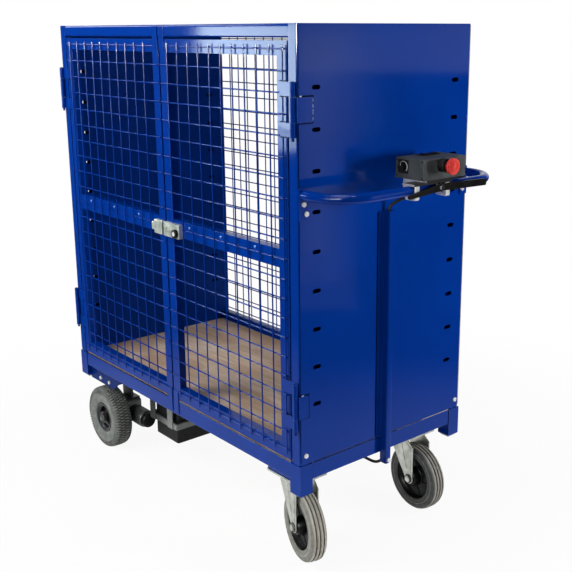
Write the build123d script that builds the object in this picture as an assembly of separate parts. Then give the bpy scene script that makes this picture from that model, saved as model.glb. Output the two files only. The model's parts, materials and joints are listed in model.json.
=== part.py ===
from build123d import *
import math
import os

# Cage: length between end panels, width, height of the panels and their lower edge above the floor
CAGE_LENGTH = 1210.0
CAGE_WIDTH = 610.0
PANEL_HEIGHT = 1105.0
CAGE_BOTTOM = 325.0
SHEET = 2.0
SHEET_BEND = 4.0

# End panels
PANEL_FLANGE = 32.0
SLOT_LENGTH = 26.0
SLOT_HEIGHT = 11.0
SLOT_PITCH = 100.0
SLOT_ROWS = 9
SLOT_EDGE = 58.0
SLOT_TOP = 146.5

# Base frame
BASE_GAP = 3.0
RAIL_HEIGHT = 45.0
RAIL_WIDTH = 25.0
RAIL_WALL = 2.0
FOOT_SIZE = 42.0
FOOT_PROUD = 2.0
FOOT_BOTTOM = 230.0
FOOT_WALL = 3.0
FOOT_CHAMFER = 9.0
UPRIGHT_LEG = 27.0
UPRIGHT_SHEET = 3.0
UPRIGHT_HEIGHT = 62.0
UPRIGHT_BEND = 7.0
DECK_THICKNESS = 12.0
DECK_CLEARANCE = 1.5
DECK_EDGE_INSET = 1.0
DECK_RISE = 1.0
BEARER_WIDTH = 40.0
BEARER_XS = (150.0, -200.0, -310.0)
CASTOR_BEARER_WIDTH = 120.0
CASTOR_BEARER_WALL = 4.0
CASTOR_BEARER_SHOULDER = 5.0
CASTOR_BEARER_TAPER = 12.0

# Roof and cage rails
TOP_RAIL_HEIGHT = 33.0
TOP_RAIL_DEPTH = 30.0
REAR_RAIL_HEIGHT = 33.0
CENTRE_BAR_WIDTH = 40.0

# Doors
DOOR_SIDE_GAP = 6.0
DOOR_MEETING_GAP = 8.0
DOOR_TOP_GAP = 6.0
DOOR_BOTTOM_GAP = 7.0
DOOR_DEPTH = 25.0
HINGE_STILE = 38.0
MEETING_STILE = 32.0
DOOR_TOP_RAIL = 35.0
DOOR_MID_RAIL = 48.0
DOOR_BOTTOM_RAIL = 38.0
MID_RAIL_BOTTOM = 839.0
RIVET_RADIUS = 4.0
RIVET_HEIGHT = 2.0
RIVET_RISE = 36.0
RIVET_CELLS = (1, 4, 7)
TAB_WIDTH = 24.0
TAB_EDGE = 1.0
TAB_THICKNESS = 3.0
TAB_RAIL_LAP = 29.0
TAB_SILL_LAP = 39.0
TAB_DOOR_LAP = 28.0

# Welded mesh of round wire
WIRE = 4.0
MESH_PITCH = 50.8
MESH_ROWS = 21
MESH_TOP_DROP = 19.0
MESH_END = 9.0
MESH_HINGE_EDGE = 6.0
MESH_MEETING_EDGE = 3.0
RIGHT_MESH_FIRST = 50.0
RIGHT_MESH_WIRES = 11
LEFT_MESH_FIRST = 76.0
LEFT_MESH_WIRES = 10
MESH_CLEARANCE = 1.5
REAR_MESH_ROWS = 21
REAR_MESH_COLUMNS = 12
REAR_MESH_GAP = 6.0

# Hinges
PIN_INSET = 8.0
PIN_FORWARD = 8.0
PIN_RADIUS = 3.5
PIN_CLEARANCE = 0.05
PIN_TIP = 8.0
PIN_HEAD = 2.0
KNUCKLE_RADIUS = 6.2
DOOR_KNUCKLE = 34.0
BODY_KNUCKLE = 60.0
KNUCKLE_GAP = 1.0
LEAF_SHEET = 3.0
STRAP_REACH = 25.0
UPPER_HINGE_BOTTOM = 1167.0
LOWER_HINGE_BOTTOM = 420.0
UPPER_LEAF_REACH = 45.0
LOWER_LEAF_REACH = 27.0

# Latch
LATCH_BOTTOM = 837.0
LATCH_HEIGHT = 41.0
LATCH_DEPTH = 13.0
KEEPER_WIDTH = 55.0
KEEPER_STEP_X = 14.0
KEEPER_STEP_Z = 9.0
CASE_WIDTH = 82.0
LATCH_EDGE = 1.5
BOLT_HEIGHT = 18.0
BOLT_DEPTH = 6.0
BOLT_LENGTH = 44.0
BOLT_CENTRE = 859.0
BOLT_SETBACK = 1.0
BOLT_TRAVEL = 16.0
BOLT_CLEARANCE = 0.4
BOLT_KNOB_RADIUS = 3.5
BOLT_KNOB_INSET = 30.0
BOLT_KNOB_PROUD = 6.0
BOLT_BACK = 3.5
LOCK_X = 71.0
LOCK_Z = 852.0
LOCK_RADIUS = 12.5
LOCK_PROUD = 9.0
LOCK_CLEARANCE = 0.1
KEY_RADIUS = 6.5
KEY_CLEARANCE = 0.05
KEY_DEPTH = 12.0
KEY_PROUD = 0.8
KEYWAY_WIDTH = 1.4
KEYWAY_HEIGHT = 7.0
KEYWAY_DEPTH = 4.0

# Push handle
HANDLE_RADIUS = 12.5
HANDLE_WALL = 2.0
HANDLE_HEIGHT = 1030.0
HANDLE_EDGE = 14.5
HANDLE_REACH = 130.0
HANDLE_BEND = 100.0
HANDLE_PLATE = 4.0
HANDLE_PLATE_WIDTH = 27.0
HANDLE_PLATE_ABOVE = 16.0
HANDLE_PLATE_BELOW = 62.0

# Control box and its bracket
BOX_SETBACK = 84.0
BOX_DEPTH = 99.0
BOX_LEFT = -24.0
BOX_WIDTH = 155.0
BOX_RISE = 22.0
BOX_HEIGHT = 52.0
BOX_WALL = 3.0
BOX_BASE = 4.0
BOX_ROUND = 3.0
BRACKET_BASE_SETBACK = 21.0
BRACKET_REACH = 19.0
BRACKET_BASE_LEFT = -62.0
BRACKET_BASE_WIDTH = 140.0
BRACKET_SHELF_SETBACK = 61.0
BRACKET_SHELF_LEFT_INSET = 6.0
BRACKET_SHELF_RIGHT_INSET = 7.0
BRACKET_SHELF = 4.0
BRACKET_EAR = 4.0
BRACKET_EAR_SETBACK = 23.0
BRACKET_EAR_DROP = 8.0
TUBE_SEAT_CLEARANCE = 0.1
CLAMP_YS = (-48.0, 63.0)
CLAMP_WIDTH = 14.0
CLAMP_SPAN = 36.0
CLAMP_FLOOR = 11.0
CLAMP_ROUND = 5.0

# Emergency stop
STOP_INSET = 64.0
STOP_RISE = 35.0
STOP_COLLAR_RADIUS = 17.0
STOP_COLLAR_LENGTH = 18.0
STOP_STEM_RADIUS = 10.0
STOP_STEM_INSIDE = 16.0
STOP_CLEARANCE = 0.05
STOP_TRAVEL = 5.0
STOP_HEAD_GAP = 1.5
STOP_NECK_RADIUS = 14.0
STOP_HEAD_RADIUS = 20.5
STOP_HEAD_FLARE = 8.5
STOP_HEAD_RIM = 8.5
STOP_HEAD_DOME = 6.0

# Speed dial
DIAL_INSET = 29.0
DIAL_RISE = 30.0
DIAL_PLATE = 34.0
DIAL_PLATE_THICKNESS = 1.0
DIAL_RADIUS = 10.5
DIAL_HEIGHT = 10.0
DIAL_GAP = 0.5
DIAL_FLUTES = 12
DIAL_FLUTE_RADIUS = 1.4
DIAL_SPINDLE_RADIUS = 3.0
DIAL_SPINDLE_INSIDE = 12.0
DIAL_CLEARANCE = 0.05

# Rocker switch on the top of the control box
SWITCH_SETBACK = 32.0
SWITCH_INSET = 87.0
SWITCH_BEZEL_LENGTH = 60.0
SWITCH_BEZEL_WIDTH = 27.0
SWITCH_BEZEL_HEIGHT = 2.5
SWITCH_LENGTH = 46.0
SWITCH_WIDTH = 18.0
SWITCH_GAP = 1.2
SWITCH_PROUD = 3.0
SWITCH_DISH = 2.0
SWITCH_PIVOT_RADIUS = 2.0
SWITCH_PIVOT_DROP = 5.0
SWITCH_PIVOT_CLEARANCE = 0.05

# Throttle lever
LEVER_Y = 31.0
LEVER_RISE = 3.0
LEVER_THICKNESS = 6.0
LEVER_GAP = 0.6
LEVER_HUB_RADIUS = 11.0
LEVER_LEFT_REACH = 116.0
LEVER_LEFT_DROP = 14.0
LEVER_RIGHT_REACH = 173.0
LEVER_RIGHT_DROP = 4.0
LEVER_BLADE = 18.0
LEVER_LEFT_TIP = 10.0
LEVER_RIGHT_TIP = 18.0
LEVER_TIP_ROUND = 4.5
LEVER_BORE_CLEARANCE = 0.05
STUD_RADIUS = 4.0
STUD_HEAD_RADIUS = 7.5
STUD_HEAD = 4.0
LUG_WIDTH = 20.0
LUG_SHEET = 4.0
LUG_DROP = 12.0

# Cable channel and control cable
CHANNEL_Y = -9.0
CHANNEL_WIDTH = 20.0
CHANNEL_DEPTH = 24.0
CHANNEL_FLANGE = 18.0
CHANNEL_TOP_DROP = 71.0
CHANNEL_BOTTOM = 248.0
CHANNEL_FLANGE_BOTTOM = 330.0
CHANNEL_BEND = 3.0
CABLE_RADIUS = 4.0
CABLE_X = 616.0
CABLE_START_SETBACK = 10.0
CABLE_START_INSET = 48.0
CABLE_HANG = 34.0
CABLE_KNEE = 14.0
CABLE_LOW = 231.0
CABLE_DIP_END = 395.0
CABLE_RISE_END = 300.0
CABLE_HIGH = 258.0
CABLE_BENDS = (24.0, 30.0, 55.0, 150.0, 150.0)
GLAND_RADIUS = 8.0
GLAND_LENGTH = 16.0
GLAND_SHANK_RADIUS = 6.0

# Castors
CASTOR_X = 482.0
CASTOR_Y = 216.0
CASTOR_HEIGHT = 240.0
CASTOR_TRAIL = 50.0
FRONT_SWIVEL = -15.0
REAR_SWIVEL = -3.3
CASTOR_PLATE_LENGTH = 135.0
CASTOR_PLATE_WIDTH = 110.0
CASTOR_PLATE = 5.0
CASTOR_PLATE_ROUND = 8.0
CASTOR_BOLT_X = 105.0
CASTOR_BOLT_Y = 75.0
RACE_RADIUS = 37.0
RACE_HEIGHT = 9.0
RACE_RIM = 4.0
KINGPIN_RADIUS = 9.0
KINGPIN_CLEARANCE = 0.05
KINGPIN_NUT_RADIUS = 14.0
KINGPIN_NUT = 9.0
SWIVEL_GAP = 0.6
FORK_CROWN = 5.0
FORK_CROWN_RADIUS = 44.0
FORK_LEG = 4.0
FORK_INSIDE = 31.0
FORK_TOP_LENGTH = 72.0
FORK_TIP_RADIUS = 16.0
FORK_LEAD = 4.0
AXLE_RADIUS = 6.0
AXLE_CLEARANCE = 0.05
AXLE_HEAD_RADIUS = 10.0
AXLE_HEAD = 7.0
CASTOR_WHEEL_RADIUS = 100.0
CASTOR_TREAD_WIDTH = 46.0
CASTOR_TYRE_INNER = 76.0
CASTOR_TYRE_ROUND = 10.0
CASTOR_HUB_RADIUS = 21.0
CASTOR_HUB_GAP = 1.0
CASTOR_WEB = 12.0
CASTOR_RIM_WALL = 7.0
CASTOR_RIM_WIDTH = 40.0

# Driven wheels
DRIVE_X = -474.0
DRIVE_Y = 277.0
DRIVE_WHEEL_RADIUS = 107.5
DRIVE_TYRE_WIDTH = 62.0
DRIVE_RIM_RADIUS = 52.0
DRIVE_RIM_WIDTH = 50.0
DRIVE_RIM_LIP = 5.0
DRIVE_RIM_WALL = 5.0
DRIVE_WEB = 10.0
DRIVE_HUB_RADIUS = 20.0
DRIVE_HUB_LENGTH = 54.0
DRIVE_CAP_RADIUS = 14.0
DRIVE_CAP = 4.0
SHAFT_RADIUS = 8.5
SHAFT_CLEARANCE = 0.05
SHAFT_INSIDE = 40.0
TYRE_SHOULDER = 18.0
TYRE_WALL = 11.0

# Drive brackets, beam and gearmotors
DRIVE_BRACKET_SHEET = 4.0
DRIVE_BRACKET_INSET = 14.0
DRIVE_BRACKET_LEFT = -590.0
DRIVE_BRACKET_RIGHT = -350.0
DRIVE_BRACKET_FOOT_RIGHT = -408.0
DRIVE_BRACKET_FOOT_LEFT = -566.0
DRIVE_BRACKET_BOTTOM = 226.0
DRIVE_BRACKET_STEP = 14.0
DRIVE_BRACKET_FLANGE = 22.0
DRIVE_BOLT_XS = (-497.0, -437.0)
DRIVE_BOLT_Z = 244.0
BEAM_WIDTH = 90.0
BEAM_HEIGHT = 36.0
BEAM_WALL = 3.0
BEAM_BOTTOM = 228.0
HANGER_LENGTH = 60.0
HANGER_SHEET = 8.0
GEARBOX_LENGTH = 78.0
GEARBOX_WIDTH = 58.0
GEARBOX_BELOW = 28.0
GEARBOX_ABOVE = 48.0
GEARBOX_ROUND = 9.0
GEARBOX_Y = 203.0
GEARBOX_FLANGE = 6.0
MOTOR_RADIUS = 29.0
MOTOR_LENGTH = 84.0
MOTOR_Z = 111.0
MOTOR_ROUND = 5.0
BRAKE_RADIUS = 25.0
BRAKE_LENGTH = 18.0
BRAKE_ROUND = 6.0

# Battery cradle, battery case, controller
CRADLE_LEFT = -324.0
CRADLE_RIGHT = -165.0
CRADLE_HALF_WIDTH = 200.0
CRADLE_BAR = 10.0
CRADLE_BAR_HEIGHT = 20.0
CRADLE_TOP = 149.0
STRAP_WIDTH = 31.0
STRAP_SHEET = 4.0
STRAP_FOOT = 26.0
CASE_CLEARANCE = 2.0
CASE_WALL = 3.0
CASE_BOTTOM = 76.0
CASE_TOP = 206.0
CASE_LIP = 5.0
CASE_LIP_REACH = 7.0
CASE_ROUND = 6.0
LID_THICKNESS = 4.0
BATTERY_GAP = 6.0
BATTERY_HEIGHT = 96.0
BATTERY_SPACING = 10.0
CONTROLLER_LENGTH = 84.0
CONTROLLER_WIDTH = 120.0
CONTROLLER_HEIGHT = 42.0
CONTROLLER_ROUND = 4.0

# Bolts
BOLT_RADIUS = 4.0
BOLT_HOLE_CLEARANCE = 0.3
BOLT_HEAD_RADIUS = 7.0
BOLT_HEAD = 4.5
NUT_HEIGHT = 6.0
HANDLE_BOLT_OFFSETS = ((-6.5, -46.0), (1.5, -22.0))
FOOT_BOLT_INSET = 18.0
FOOT_BOLT_Z = 350.0
CHANNEL_BOLT_Z = 258.0

# Positions that follow from the sizes above
HALF_L = CAGE_LENGTH / 2
HALF_W = CAGE_WIDTH / 2
CAGE_TOP = CAGE_BOTTOM + PANEL_HEIGHT
RAIL_TOP = CAGE_BOTTOM - BASE_GAP
RAIL_BOTTOM = RAIL_TOP - RAIL_HEIGHT
RAIL_END_X = HALF_L + FOOT_PROUD - FOOT_SIZE
RAIL_END_Y = HALF_W + FOOT_PROUD - FOOT_SIZE
RAIL_IN_X = HALF_L - RAIL_WIDTH
RAIL_IN_Y = HALF_W - RAIL_WIDTH
DECK_BOTTOM = CAGE_BOTTOM - DECK_THICKNESS
ROOF_BOTTOM = CAGE_TOP - SHEET
TOP_RAIL_BOTTOM = CAGE_TOP - TOP_RAIL_HEIGHT
OPENING_X = HALF_L - PANEL_FLANGE
DOOR_OUT = OPENING_X - DOOR_SIDE_GAP
DOOR_IN = DOOR_MEETING_GAP / 2
DOOR_TOP = TOP_RAIL_BOTTOM - DOOR_TOP_GAP
DOOR_BOTTOM = RAIL_TOP + DOOR_BOTTOM_GAP
FACE_Y = -HALF_W
MESH_DEPTH = 2 * WIRE
PIN_X = HALF_L - PIN_INSET
PIN_Y = FACE_Y - PIN_FORWARD
HINGE_LENGTH = 2 * DOOR_KNUCKLE + BODY_KNUCKLE + 2 * KNUCKLE_GAP
HANDLE_X = HALF_L + HANDLE_REACH
HANDLE_HALF_SPAN = HALF_W - HANDLE_EDGE
CHANNEL_TOP = HANDLE_HEIGHT - CHANNEL_TOP_DROP
HANDLE_PLATE_TOP = HANDLE_HEIGHT + HANDLE_PLATE_ABOVE
HANDLE_PLATE_BOTTOM = HANDLE_HEIGHT - HANDLE_PLATE_BELOW
BOX_BACK = HANDLE_X - BOX_SETBACK
BOX_FRONT = BOX_BACK + BOX_DEPTH
BOX_RIGHT = BOX_LEFT + BOX_WIDTH
BOX_BOTTOM = HANDLE_HEIGHT + BOX_RISE
BOX_TOP = BOX_BOTTOM + BOX_HEIGHT
BRACKET_BASE_BACK = HANDLE_X - BRACKET_BASE_SETBACK
BRACKET_FRONT = HANDLE_X + BRACKET_REACH
BRACKET_BASE_RIGHT = BRACKET_BASE_LEFT + BRACKET_BASE_WIDTH
BRACKET_SHELF_BACK = HANDLE_X - BRACKET_SHELF_SETBACK
BRACKET_SHELF_LEFT = BOX_LEFT + BRACKET_SHELF_LEFT_INSET
BRACKET_SHELF_RIGHT = BOX_RIGHT - BRACKET_SHELF_RIGHT_INSET
BRACKET_EAR_FRONT = HANDLE_X - BRACKET_EAR_SETBACK
BRACKET_EAR_BOTTOM = HANDLE_HEIGHT - BRACKET_EAR_DROP
STOP_Y = BOX_LEFT + STOP_INSET
STOP_Z = BOX_BOTTOM + STOP_RISE
DIAL_X = BOX_BACK + DIAL_INSET
DIAL_Z = BOX_BOTTOM + DIAL_RISE
SWITCH_X = BOX_BACK + SWITCH_SETBACK
SWITCH_Y = BOX_LEFT + SWITCH_INSET
LEVER_Z = HANDLE_HEIGHT + LEVER_RISE
CABLE_START_X = BOX_BACK + CABLE_START_SETBACK
CABLE_START_Y = BOX_LEFT + CABLE_START_INSET
MESH_TOP = DOOR_TOP - MESH_TOP_DROP
LINER_REAR = HALF_W - SHEET - MESH_DEPTH - MESH_CLEARANCE
HINGE_BOTTOMS = (UPPER_HINGE_BOTTOM, LOWER_HINGE_BOTTOM)
LEAF_REACHES = (UPPER_LEAF_REACH, LOWER_LEAF_REACH)
SIDES = (-1, 1)

nodes = {}


def span(x0, x1, y0, y1, z0, z1):
    """Block between two opposite corners."""
    centre = Pos((x0 + x1) / 2, (y0 + y1) / 2, (z0 + z1) / 2)
    return centre * Box(abs(x1 - x0), abs(y1 - y0), abs(z1 - z0))


def rod(start, end, radius):
    """Round bar from one point to another."""
    way = Vector(*end) - Vector(*start)
    place = Plane(origin=start, z_dir=way)
    return place * Cylinder(radius, way.length, align=(Align.CENTER, Align.CENTER, Align.MIN))


def strip(points, thickness, bend):
    """Face of a folded strip that follows a line of points."""
    return trace(FilletPolyline(*points, radius=bend), thickness)


def lying_tube(x0, x1, y0, y1, z0, z1, wall, along):
    """Rectangular tube with open ends that lies along X or along Y."""
    outer = span(x0, x1, y0, y1, z0, z1)
    if along == "X":
        return outer - span(x0, x1, y0 + wall, y1 - wall, z0 + wall, z1 - wall)
    return outer - span(x0 + wall, x1 - wall, y0, y1, z0 + wall, z1 - wall)


def hexagon(start, end, radius):
    """Hexagonal bar from one point to another."""
    way = Vector(*end) - Vector(*start)
    return extrude(Plane(origin=start, z_dir=way) * RegularPolygon(radius, 6), amount=way.length)


def bolt(face, inner, direction):
    """Bolt with its head on one face and its nut on the other; both points lie on its axis."""
    face = Vector(*face)
    inner = Vector(*inner)
    out = Vector(*direction)
    head = hexagon(face, face + out * BOLT_HEAD, BOLT_HEAD_RADIUS)
    nut = hexagon(inner, inner - out * NUT_HEIGHT, BOLT_HEAD_RADIUS)
    shank = rod(face, inner, BOLT_RADIUS)
    return head + shank + nut


def bolt_hole(face, inner):
    """Clearance hole for a bolt between two points."""
    return rod(face, inner, BOLT_RADIUS + BOLT_HOLE_CLEARANCE)


def group(solids):
    """Several separate solids as one piece."""
    return Compound([solid for shape in solids for solid in shape.solids()])


# Base: feet with their uprights, rails, bearers, deck
feet = []
for sx in SIDES:
    for sy in SIDES:
        outer_x = sx * (HALF_L + FOOT_PROUD)
        outer_y = sy * (HALF_W + FOOT_PROUD)
        inner_x = sx * RAIL_END_X
        inner_y = sy * RAIL_END_Y
        foot = span(inner_x, outer_x, inner_y, outer_y, FOOT_BOTTOM, RAIL_TOP)
        foot = chamfer(foot.faces().sort_by(Axis.Z)[0].edges(), FOOT_CHAMFER)
        foot -= span(
            inner_x + sx * FOOT_WALL,
            outer_x - sx * FOOT_WALL,
            inner_y + sy * FOOT_WALL,
            outer_y - sy * FOOT_WALL,
            FOOT_BOTTOM + FOOT_CHAMFER,
            RAIL_TOP - FOOT_WALL,
        )
        mid_x = sx * (HALF_L - SHEET - UPRIGHT_SHEET / 2)
        mid_y = sy * (HALF_W - SHEET - UPRIGHT_SHEET / 2)
        far_x = sx * (HALF_L - SHEET - UPRIGHT_LEG)
        far_y = sy * (HALF_W - SHEET - UPRIGHT_LEG)
        angle = strip([(far_x, mid_y), (mid_x, mid_y), (mid_x, far_y)], UPRIGHT_SHEET, UPRIGHT_BEND)
        foot += Pos(0, 0, RAIL_TOP) * extrude(angle, amount=UPRIGHT_HEIGHT)
        feet.append(foot)

rails = []
for side in SIDES:
    rails.append(lying_tube(
        -RAIL_END_X, RAIL_END_X, side * RAIL_IN_Y if side > 0 else -HALF_W,
        HALF_W if side > 0 else -RAIL_IN_Y, RAIL_BOTTOM, RAIL_TOP, RAIL_WALL, "X",
    ))
    rails.append(lying_tube(
        RAIL_IN_X if side > 0 else -HALF_L, HALF_L if side > 0 else -RAIL_IN_X,
        -RAIL_END_Y, RAIL_END_Y, RAIL_BOTTOM, RAIL_TOP, RAIL_WALL, "Y",
    ))
nodes["base_rails"] = group(rails)

bearers = []
for x in BEARER_XS + (DRIVE_X,):
    bearers.append(lying_tube(
        x - BEARER_WIDTH / 2, x + BEARER_WIDTH / 2, -RAIL_IN_Y, RAIL_IN_Y,
        RAIL_BOTTOM, DECK_BOTTOM, RAIL_WALL, "Y",
    ))


def bearer_profile(inset):
    """Side profile of the castor bearer, shrunk all round by a wall thickness."""
    shoulder = RAIL_BOTTOM + CASTOR_BEARER_SHOULDER
    reach = RAIL_IN_Y
    foot = RAIL_IN_Y - CASTOR_BEARER_TAPER
    face = make_face(Polyline(
        (-reach, DECK_BOTTOM), (-reach, shoulder), (-foot, CASTOR_HEIGHT),
        (foot, CASTOR_HEIGHT), (reach, shoulder), (reach, DECK_BOTTOM), close=True,
    ))
    if inset:
        face = offset(face, amount=-inset, kind=Kind.INTERSECTION)
    return Plane.YZ.offset(CASTOR_X) * face


castor_bearer = extrude(bearer_profile(0), amount=CASTOR_BEARER_WIDTH / 2, both=True)
castor_bearer -= extrude(
    bearer_profile(CASTOR_BEARER_WALL), amount=CASTOR_BEARER_WIDTH / 2, both=True
)

# Deck board, rebated all round: its lip lies on the rails, its top stands proud inside the cage
deck_top = CAGE_BOTTOM + DECK_RISE
deck = span(
    -RAIL_IN_X + DECK_CLEARANCE, RAIL_IN_X - DECK_CLEARANCE,
    -RAIL_IN_Y + DECK_CLEARANCE, RAIL_IN_Y - DECK_CLEARANCE,
    DECK_BOTTOM, RAIL_TOP,
)
deck += span(
    -HALF_L + DECK_EDGE_INSET, HALF_L - DECK_EDGE_INSET,
    -HALF_W + DECK_EDGE_INSET, HALF_W - DECK_EDGE_INSET,
    RAIL_TOP, CAGE_BOTTOM,
)
deck += span(
    -OPENING_X + DECK_CLEARANCE, OPENING_X - DECK_CLEARANCE,
    -HALF_W + DOOR_DEPTH + DECK_CLEARANCE, HALF_W - TOP_RAIL_DEPTH - DECK_CLEARANCE,
    CAGE_BOTTOM, deck_top,
)
for sx in SIDES:
    for sy in SIDES:
        deck -= span(
            sx * (RAIL_END_X - DECK_CLEARANCE), sx * HALF_L,
            sy * (RAIL_END_Y - DECK_CLEARANCE), sy * HALF_W,
            DECK_BOTTOM, deck_top,
        )
nodes["deck_board"] = deck


# End panels, folded along their front and rear edges, with two columns of slots
def end_panel(side):
    mid_x = side * (HALF_L - SHEET / 2)
    mid_y = HALF_W - SHEET / 2
    far_x = side * OPENING_X
    line = [(far_x, -mid_y), (mid_x, -mid_y), (mid_x, mid_y), (far_x, mid_y)]
    sheet = Pos(0, 0, CAGE_BOTTOM) * extrude(strip(line, SHEET, SHEET_BEND), amount=PANEL_HEIGHT)
    return sheet - slots_at(mid_x)


def slots_at(x):
    """The two columns of slots, cut through a sheet whose middle is at x."""
    slot = extrude(Plane.YZ * SlotOverall(SLOT_LENGTH, SLOT_HEIGHT), amount=SHEET, both=True)
    heights = [CAGE_TOP - SLOT_TOP - row * SLOT_PITCH for row in range(SLOT_ROWS)]
    return [Pos(x, sy * (HALF_W - SLOT_EDGE), z) * slot for sy in SIDES for z in heights]


panels = {1: end_panel(1), -1: end_panel(-1)}

# Liners: the inner skin of each end, with the same slots, between the deck and the roof
liners = []
for side in SIDES:
    liner = span(
        side * OPENING_X, side * (OPENING_X + SHEET), -HALF_W + SHEET, LINER_REAR, CAGE_BOTTOM, ROOF_BOTTOM
    )
    liners.append(liner - slots_at(side * (OPENING_X + SHEET / 2)))
nodes["end_liners"] = group(liners)

# Roof and cage rails
roof = span(
    -HALF_L + SHEET, HALF_L - SHEET, -HALF_W + SHEET, HALF_W - SHEET, ROOF_BOTTOM, CAGE_TOP
)
nodes["roof_panel"] = fillet(roof.edges().filter_by(Axis.Z), SHEET_BEND)


def folded_rail(side, z0, z1):
    """Folded rail between the end panels, open towards the inside of the cage."""
    y_face = side * (HALF_W - SHEET / 2)
    y_back = side * (HALF_W - TOP_RAIL_DEPTH)
    line = [
        (y_back, z1 - SHEET / 2), (y_face, z1 - SHEET / 2),
        (y_face, z0 + SHEET / 2), (y_back, z0 + SHEET / 2),
    ]
    return extrude(Plane.YZ * strip(line, SHEET, SHEET_BEND), amount=OPENING_X, both=True)


REAR_RAIL_TOP = CAGE_BOTTOM + REAR_RAIL_HEIGHT
nodes["cage_rails"] = group([
    folded_rail(-1, TOP_RAIL_BOTTOM, ROOF_BOTTOM),
    folded_rail(1, TOP_RAIL_BOTTOM, ROOF_BOTTOM),
    folded_rail(1, CAGE_BOTTOM, REAR_RAIL_TOP),
    span(
        -CENTRE_BAR_WIDTH / 2, CENTRE_BAR_WIDTH / 2, HALF_W - SHEET, HALF_W,
        REAR_RAIL_TOP, TOP_RAIL_BOTTOM,
    ),
])


# Welded mesh, one sheet with a square gap between each pair of wires
def mesh_face(xs, zs, x0, x1, z0, z1):
    """Flat outline of a sheet of wires; the wires run past the outer crossings to the given ends."""
    xs = sorted(xs)
    zs = sorted(zs)
    cells = []
    half = WIRE / 2
    lows = [x0 - WIRE] + [x + half for x in xs]
    highs = [x - half for x in xs] + [x1 + WIRE]
    downs = [z0 - WIRE] + [z + half for z in zs]
    ups = [z - half for z in zs] + [z1 + WIRE]
    for left, right in zip(lows, highs):
        for down, up in zip(downs, ups):
            place = Pos((left + right) / 2, (down + up) / 2)
            cells.append(place * Rectangle(right - left, up - down))
    sheet = Pos((x0 + x1) / 2, (z0 + z1) / 2) * Rectangle(x1 - x0, z1 - z0)
    return sheet - cells


rear_mesh = []
for side in SIDES:
    xs = [side * (REAR_MESH_GAP + WIRE / 2 + i * MESH_PITCH) for i in range(REAR_MESH_COLUMNS)]
    mid_z = (REAR_RAIL_TOP + TOP_RAIL_BOTTOM) / 2
    zs = [mid_z + (i - (REAR_MESH_ROWS - 1) / 2) * MESH_PITCH for i in range(REAR_MESH_ROWS)]
    inner_end = side * REAR_MESH_GAP
    outer_end = side * (HALF_L - SHEET - SHEET_BEND)
    low_end = REAR_RAIL_TOP + MESH_CLEARANCE
    high_end = TOP_RAIL_BOTTOM - MESH_CLEARANCE
    face = mesh_face(xs, zs, min(inner_end, outer_end), max(inner_end, outer_end), low_end, high_end)
    corner_in = side * (HALF_L - SHEET - UPRIGHT_LEG - MESH_CLEARANCE)
    corner_top = RAIL_TOP + UPRIGHT_HEIGHT + MESH_CLEARANCE
    face -= Pos((corner_in + side * HALF_L) / 2, (RAIL_TOP + corner_top) / 2) * Rectangle(
        abs(side * HALF_L - corner_in), corner_top - RAIL_TOP
    )
    plane = Plane.XZ.offset(-(HALF_W - SHEET))
    rear_mesh.append(extrude(plane * face, amount=MESH_DEPTH).solids().sort_by(SortBy.VOLUME)[-1])
nodes["rear_mesh"] = group(rear_mesh)


# Doors
def door_frame(side, first):
    """Folded door frame with a middle rail, open at the back; side 1 is the right door."""
    centre_x = side * (DOOR_IN + DOOR_OUT) / 2
    centre_z = (DOOR_BOTTOM + DOOR_TOP) / 2
    face = Pos(centre_x, centre_z) * Rectangle(DOOR_OUT - DOOR_IN, DOOR_TOP - DOOR_BOTTOM)
    gap_in = DOOR_IN + MEETING_STILE
    gap_out = DOOR_OUT - HINGE_STILE
    lower = (DOOR_BOTTOM + DOOR_BOTTOM_RAIL, MID_RAIL_BOTTOM)
    upper = (MID_RAIL_BOTTOM + DOOR_MID_RAIL, DOOR_TOP - DOOR_TOP_RAIL)
    for low, high in (lower, upper):
        face -= Pos(side * (gap_in + gap_out) / 2, (low + high) / 2) * Rectangle(gap_out - gap_in, high - low)
    front = Plane.XZ.offset(HALF_W)
    frame = extrude(front * face, amount=-DOOR_DEPTH)
    pocket = offset(face, amount=-SHEET, kind=Kind.INTERSECTION)
    frame -= extrude(Plane.XZ.offset(HALF_W - SHEET) * pocket, amount=-DOOR_DEPTH)
    tab_in = side * (DOOR_IN + TAB_EDGE)
    tab_out = side * (DOOR_IN + TAB_EDGE + TAB_WIDTH)
    for low, high in TAB_SPANS:
        frame += span(tab_in, tab_out, FACE_Y - TAB_THICKNESS, FACE_Y, low, high)
    rivet_z = MID_RAIL_BOTTOM + RIVET_RISE
    for cell in RIVET_CELLS:
        x = side * (first + (cell + 1 / 2) * MESH_PITCH)
        frame += rod((x, FACE_Y, rivet_z), (x, FACE_Y - RIVET_HEIGHT, rivet_z), RIVET_RADIUS)
    return frame


TAB_SPANS = (
    (DOOR_TOP - TAB_DOOR_LAP, TOP_RAIL_BOTTOM + TAB_RAIL_LAP),
    (RAIL_TOP - TAB_SILL_LAP, DOOR_BOTTOM + TAB_DOOR_LAP),
)
STRAP_INNER = DOOR_OUT - STRAP_REACH


def door_straps(side):
    """The two straps of each hinge that ride on the door, with their knuckles."""
    straps = []
    pin_x = side * PIN_X
    for bottom in HINGE_BOTTOMS:
        for low in (bottom, bottom + DOOR_KNUCKLE + BODY_KNUCKLE + 2 * KNUCKLE_GAP):
            high = low + DOOR_KNUCKLE
            strap = span(side * STRAP_INNER, pin_x, FACE_Y - LEAF_SHEET, FACE_Y, low, high)
            strap += rod((pin_x, PIN_Y, low), (pin_x, PIN_Y, high), KNUCKLE_RADIUS)
            strap -= rod((pin_x, PIN_Y, low), (pin_x, PIN_Y, high), PIN_RADIUS + PIN_CLEARANCE)
            straps.append(strap)
    return group(straps)


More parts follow.
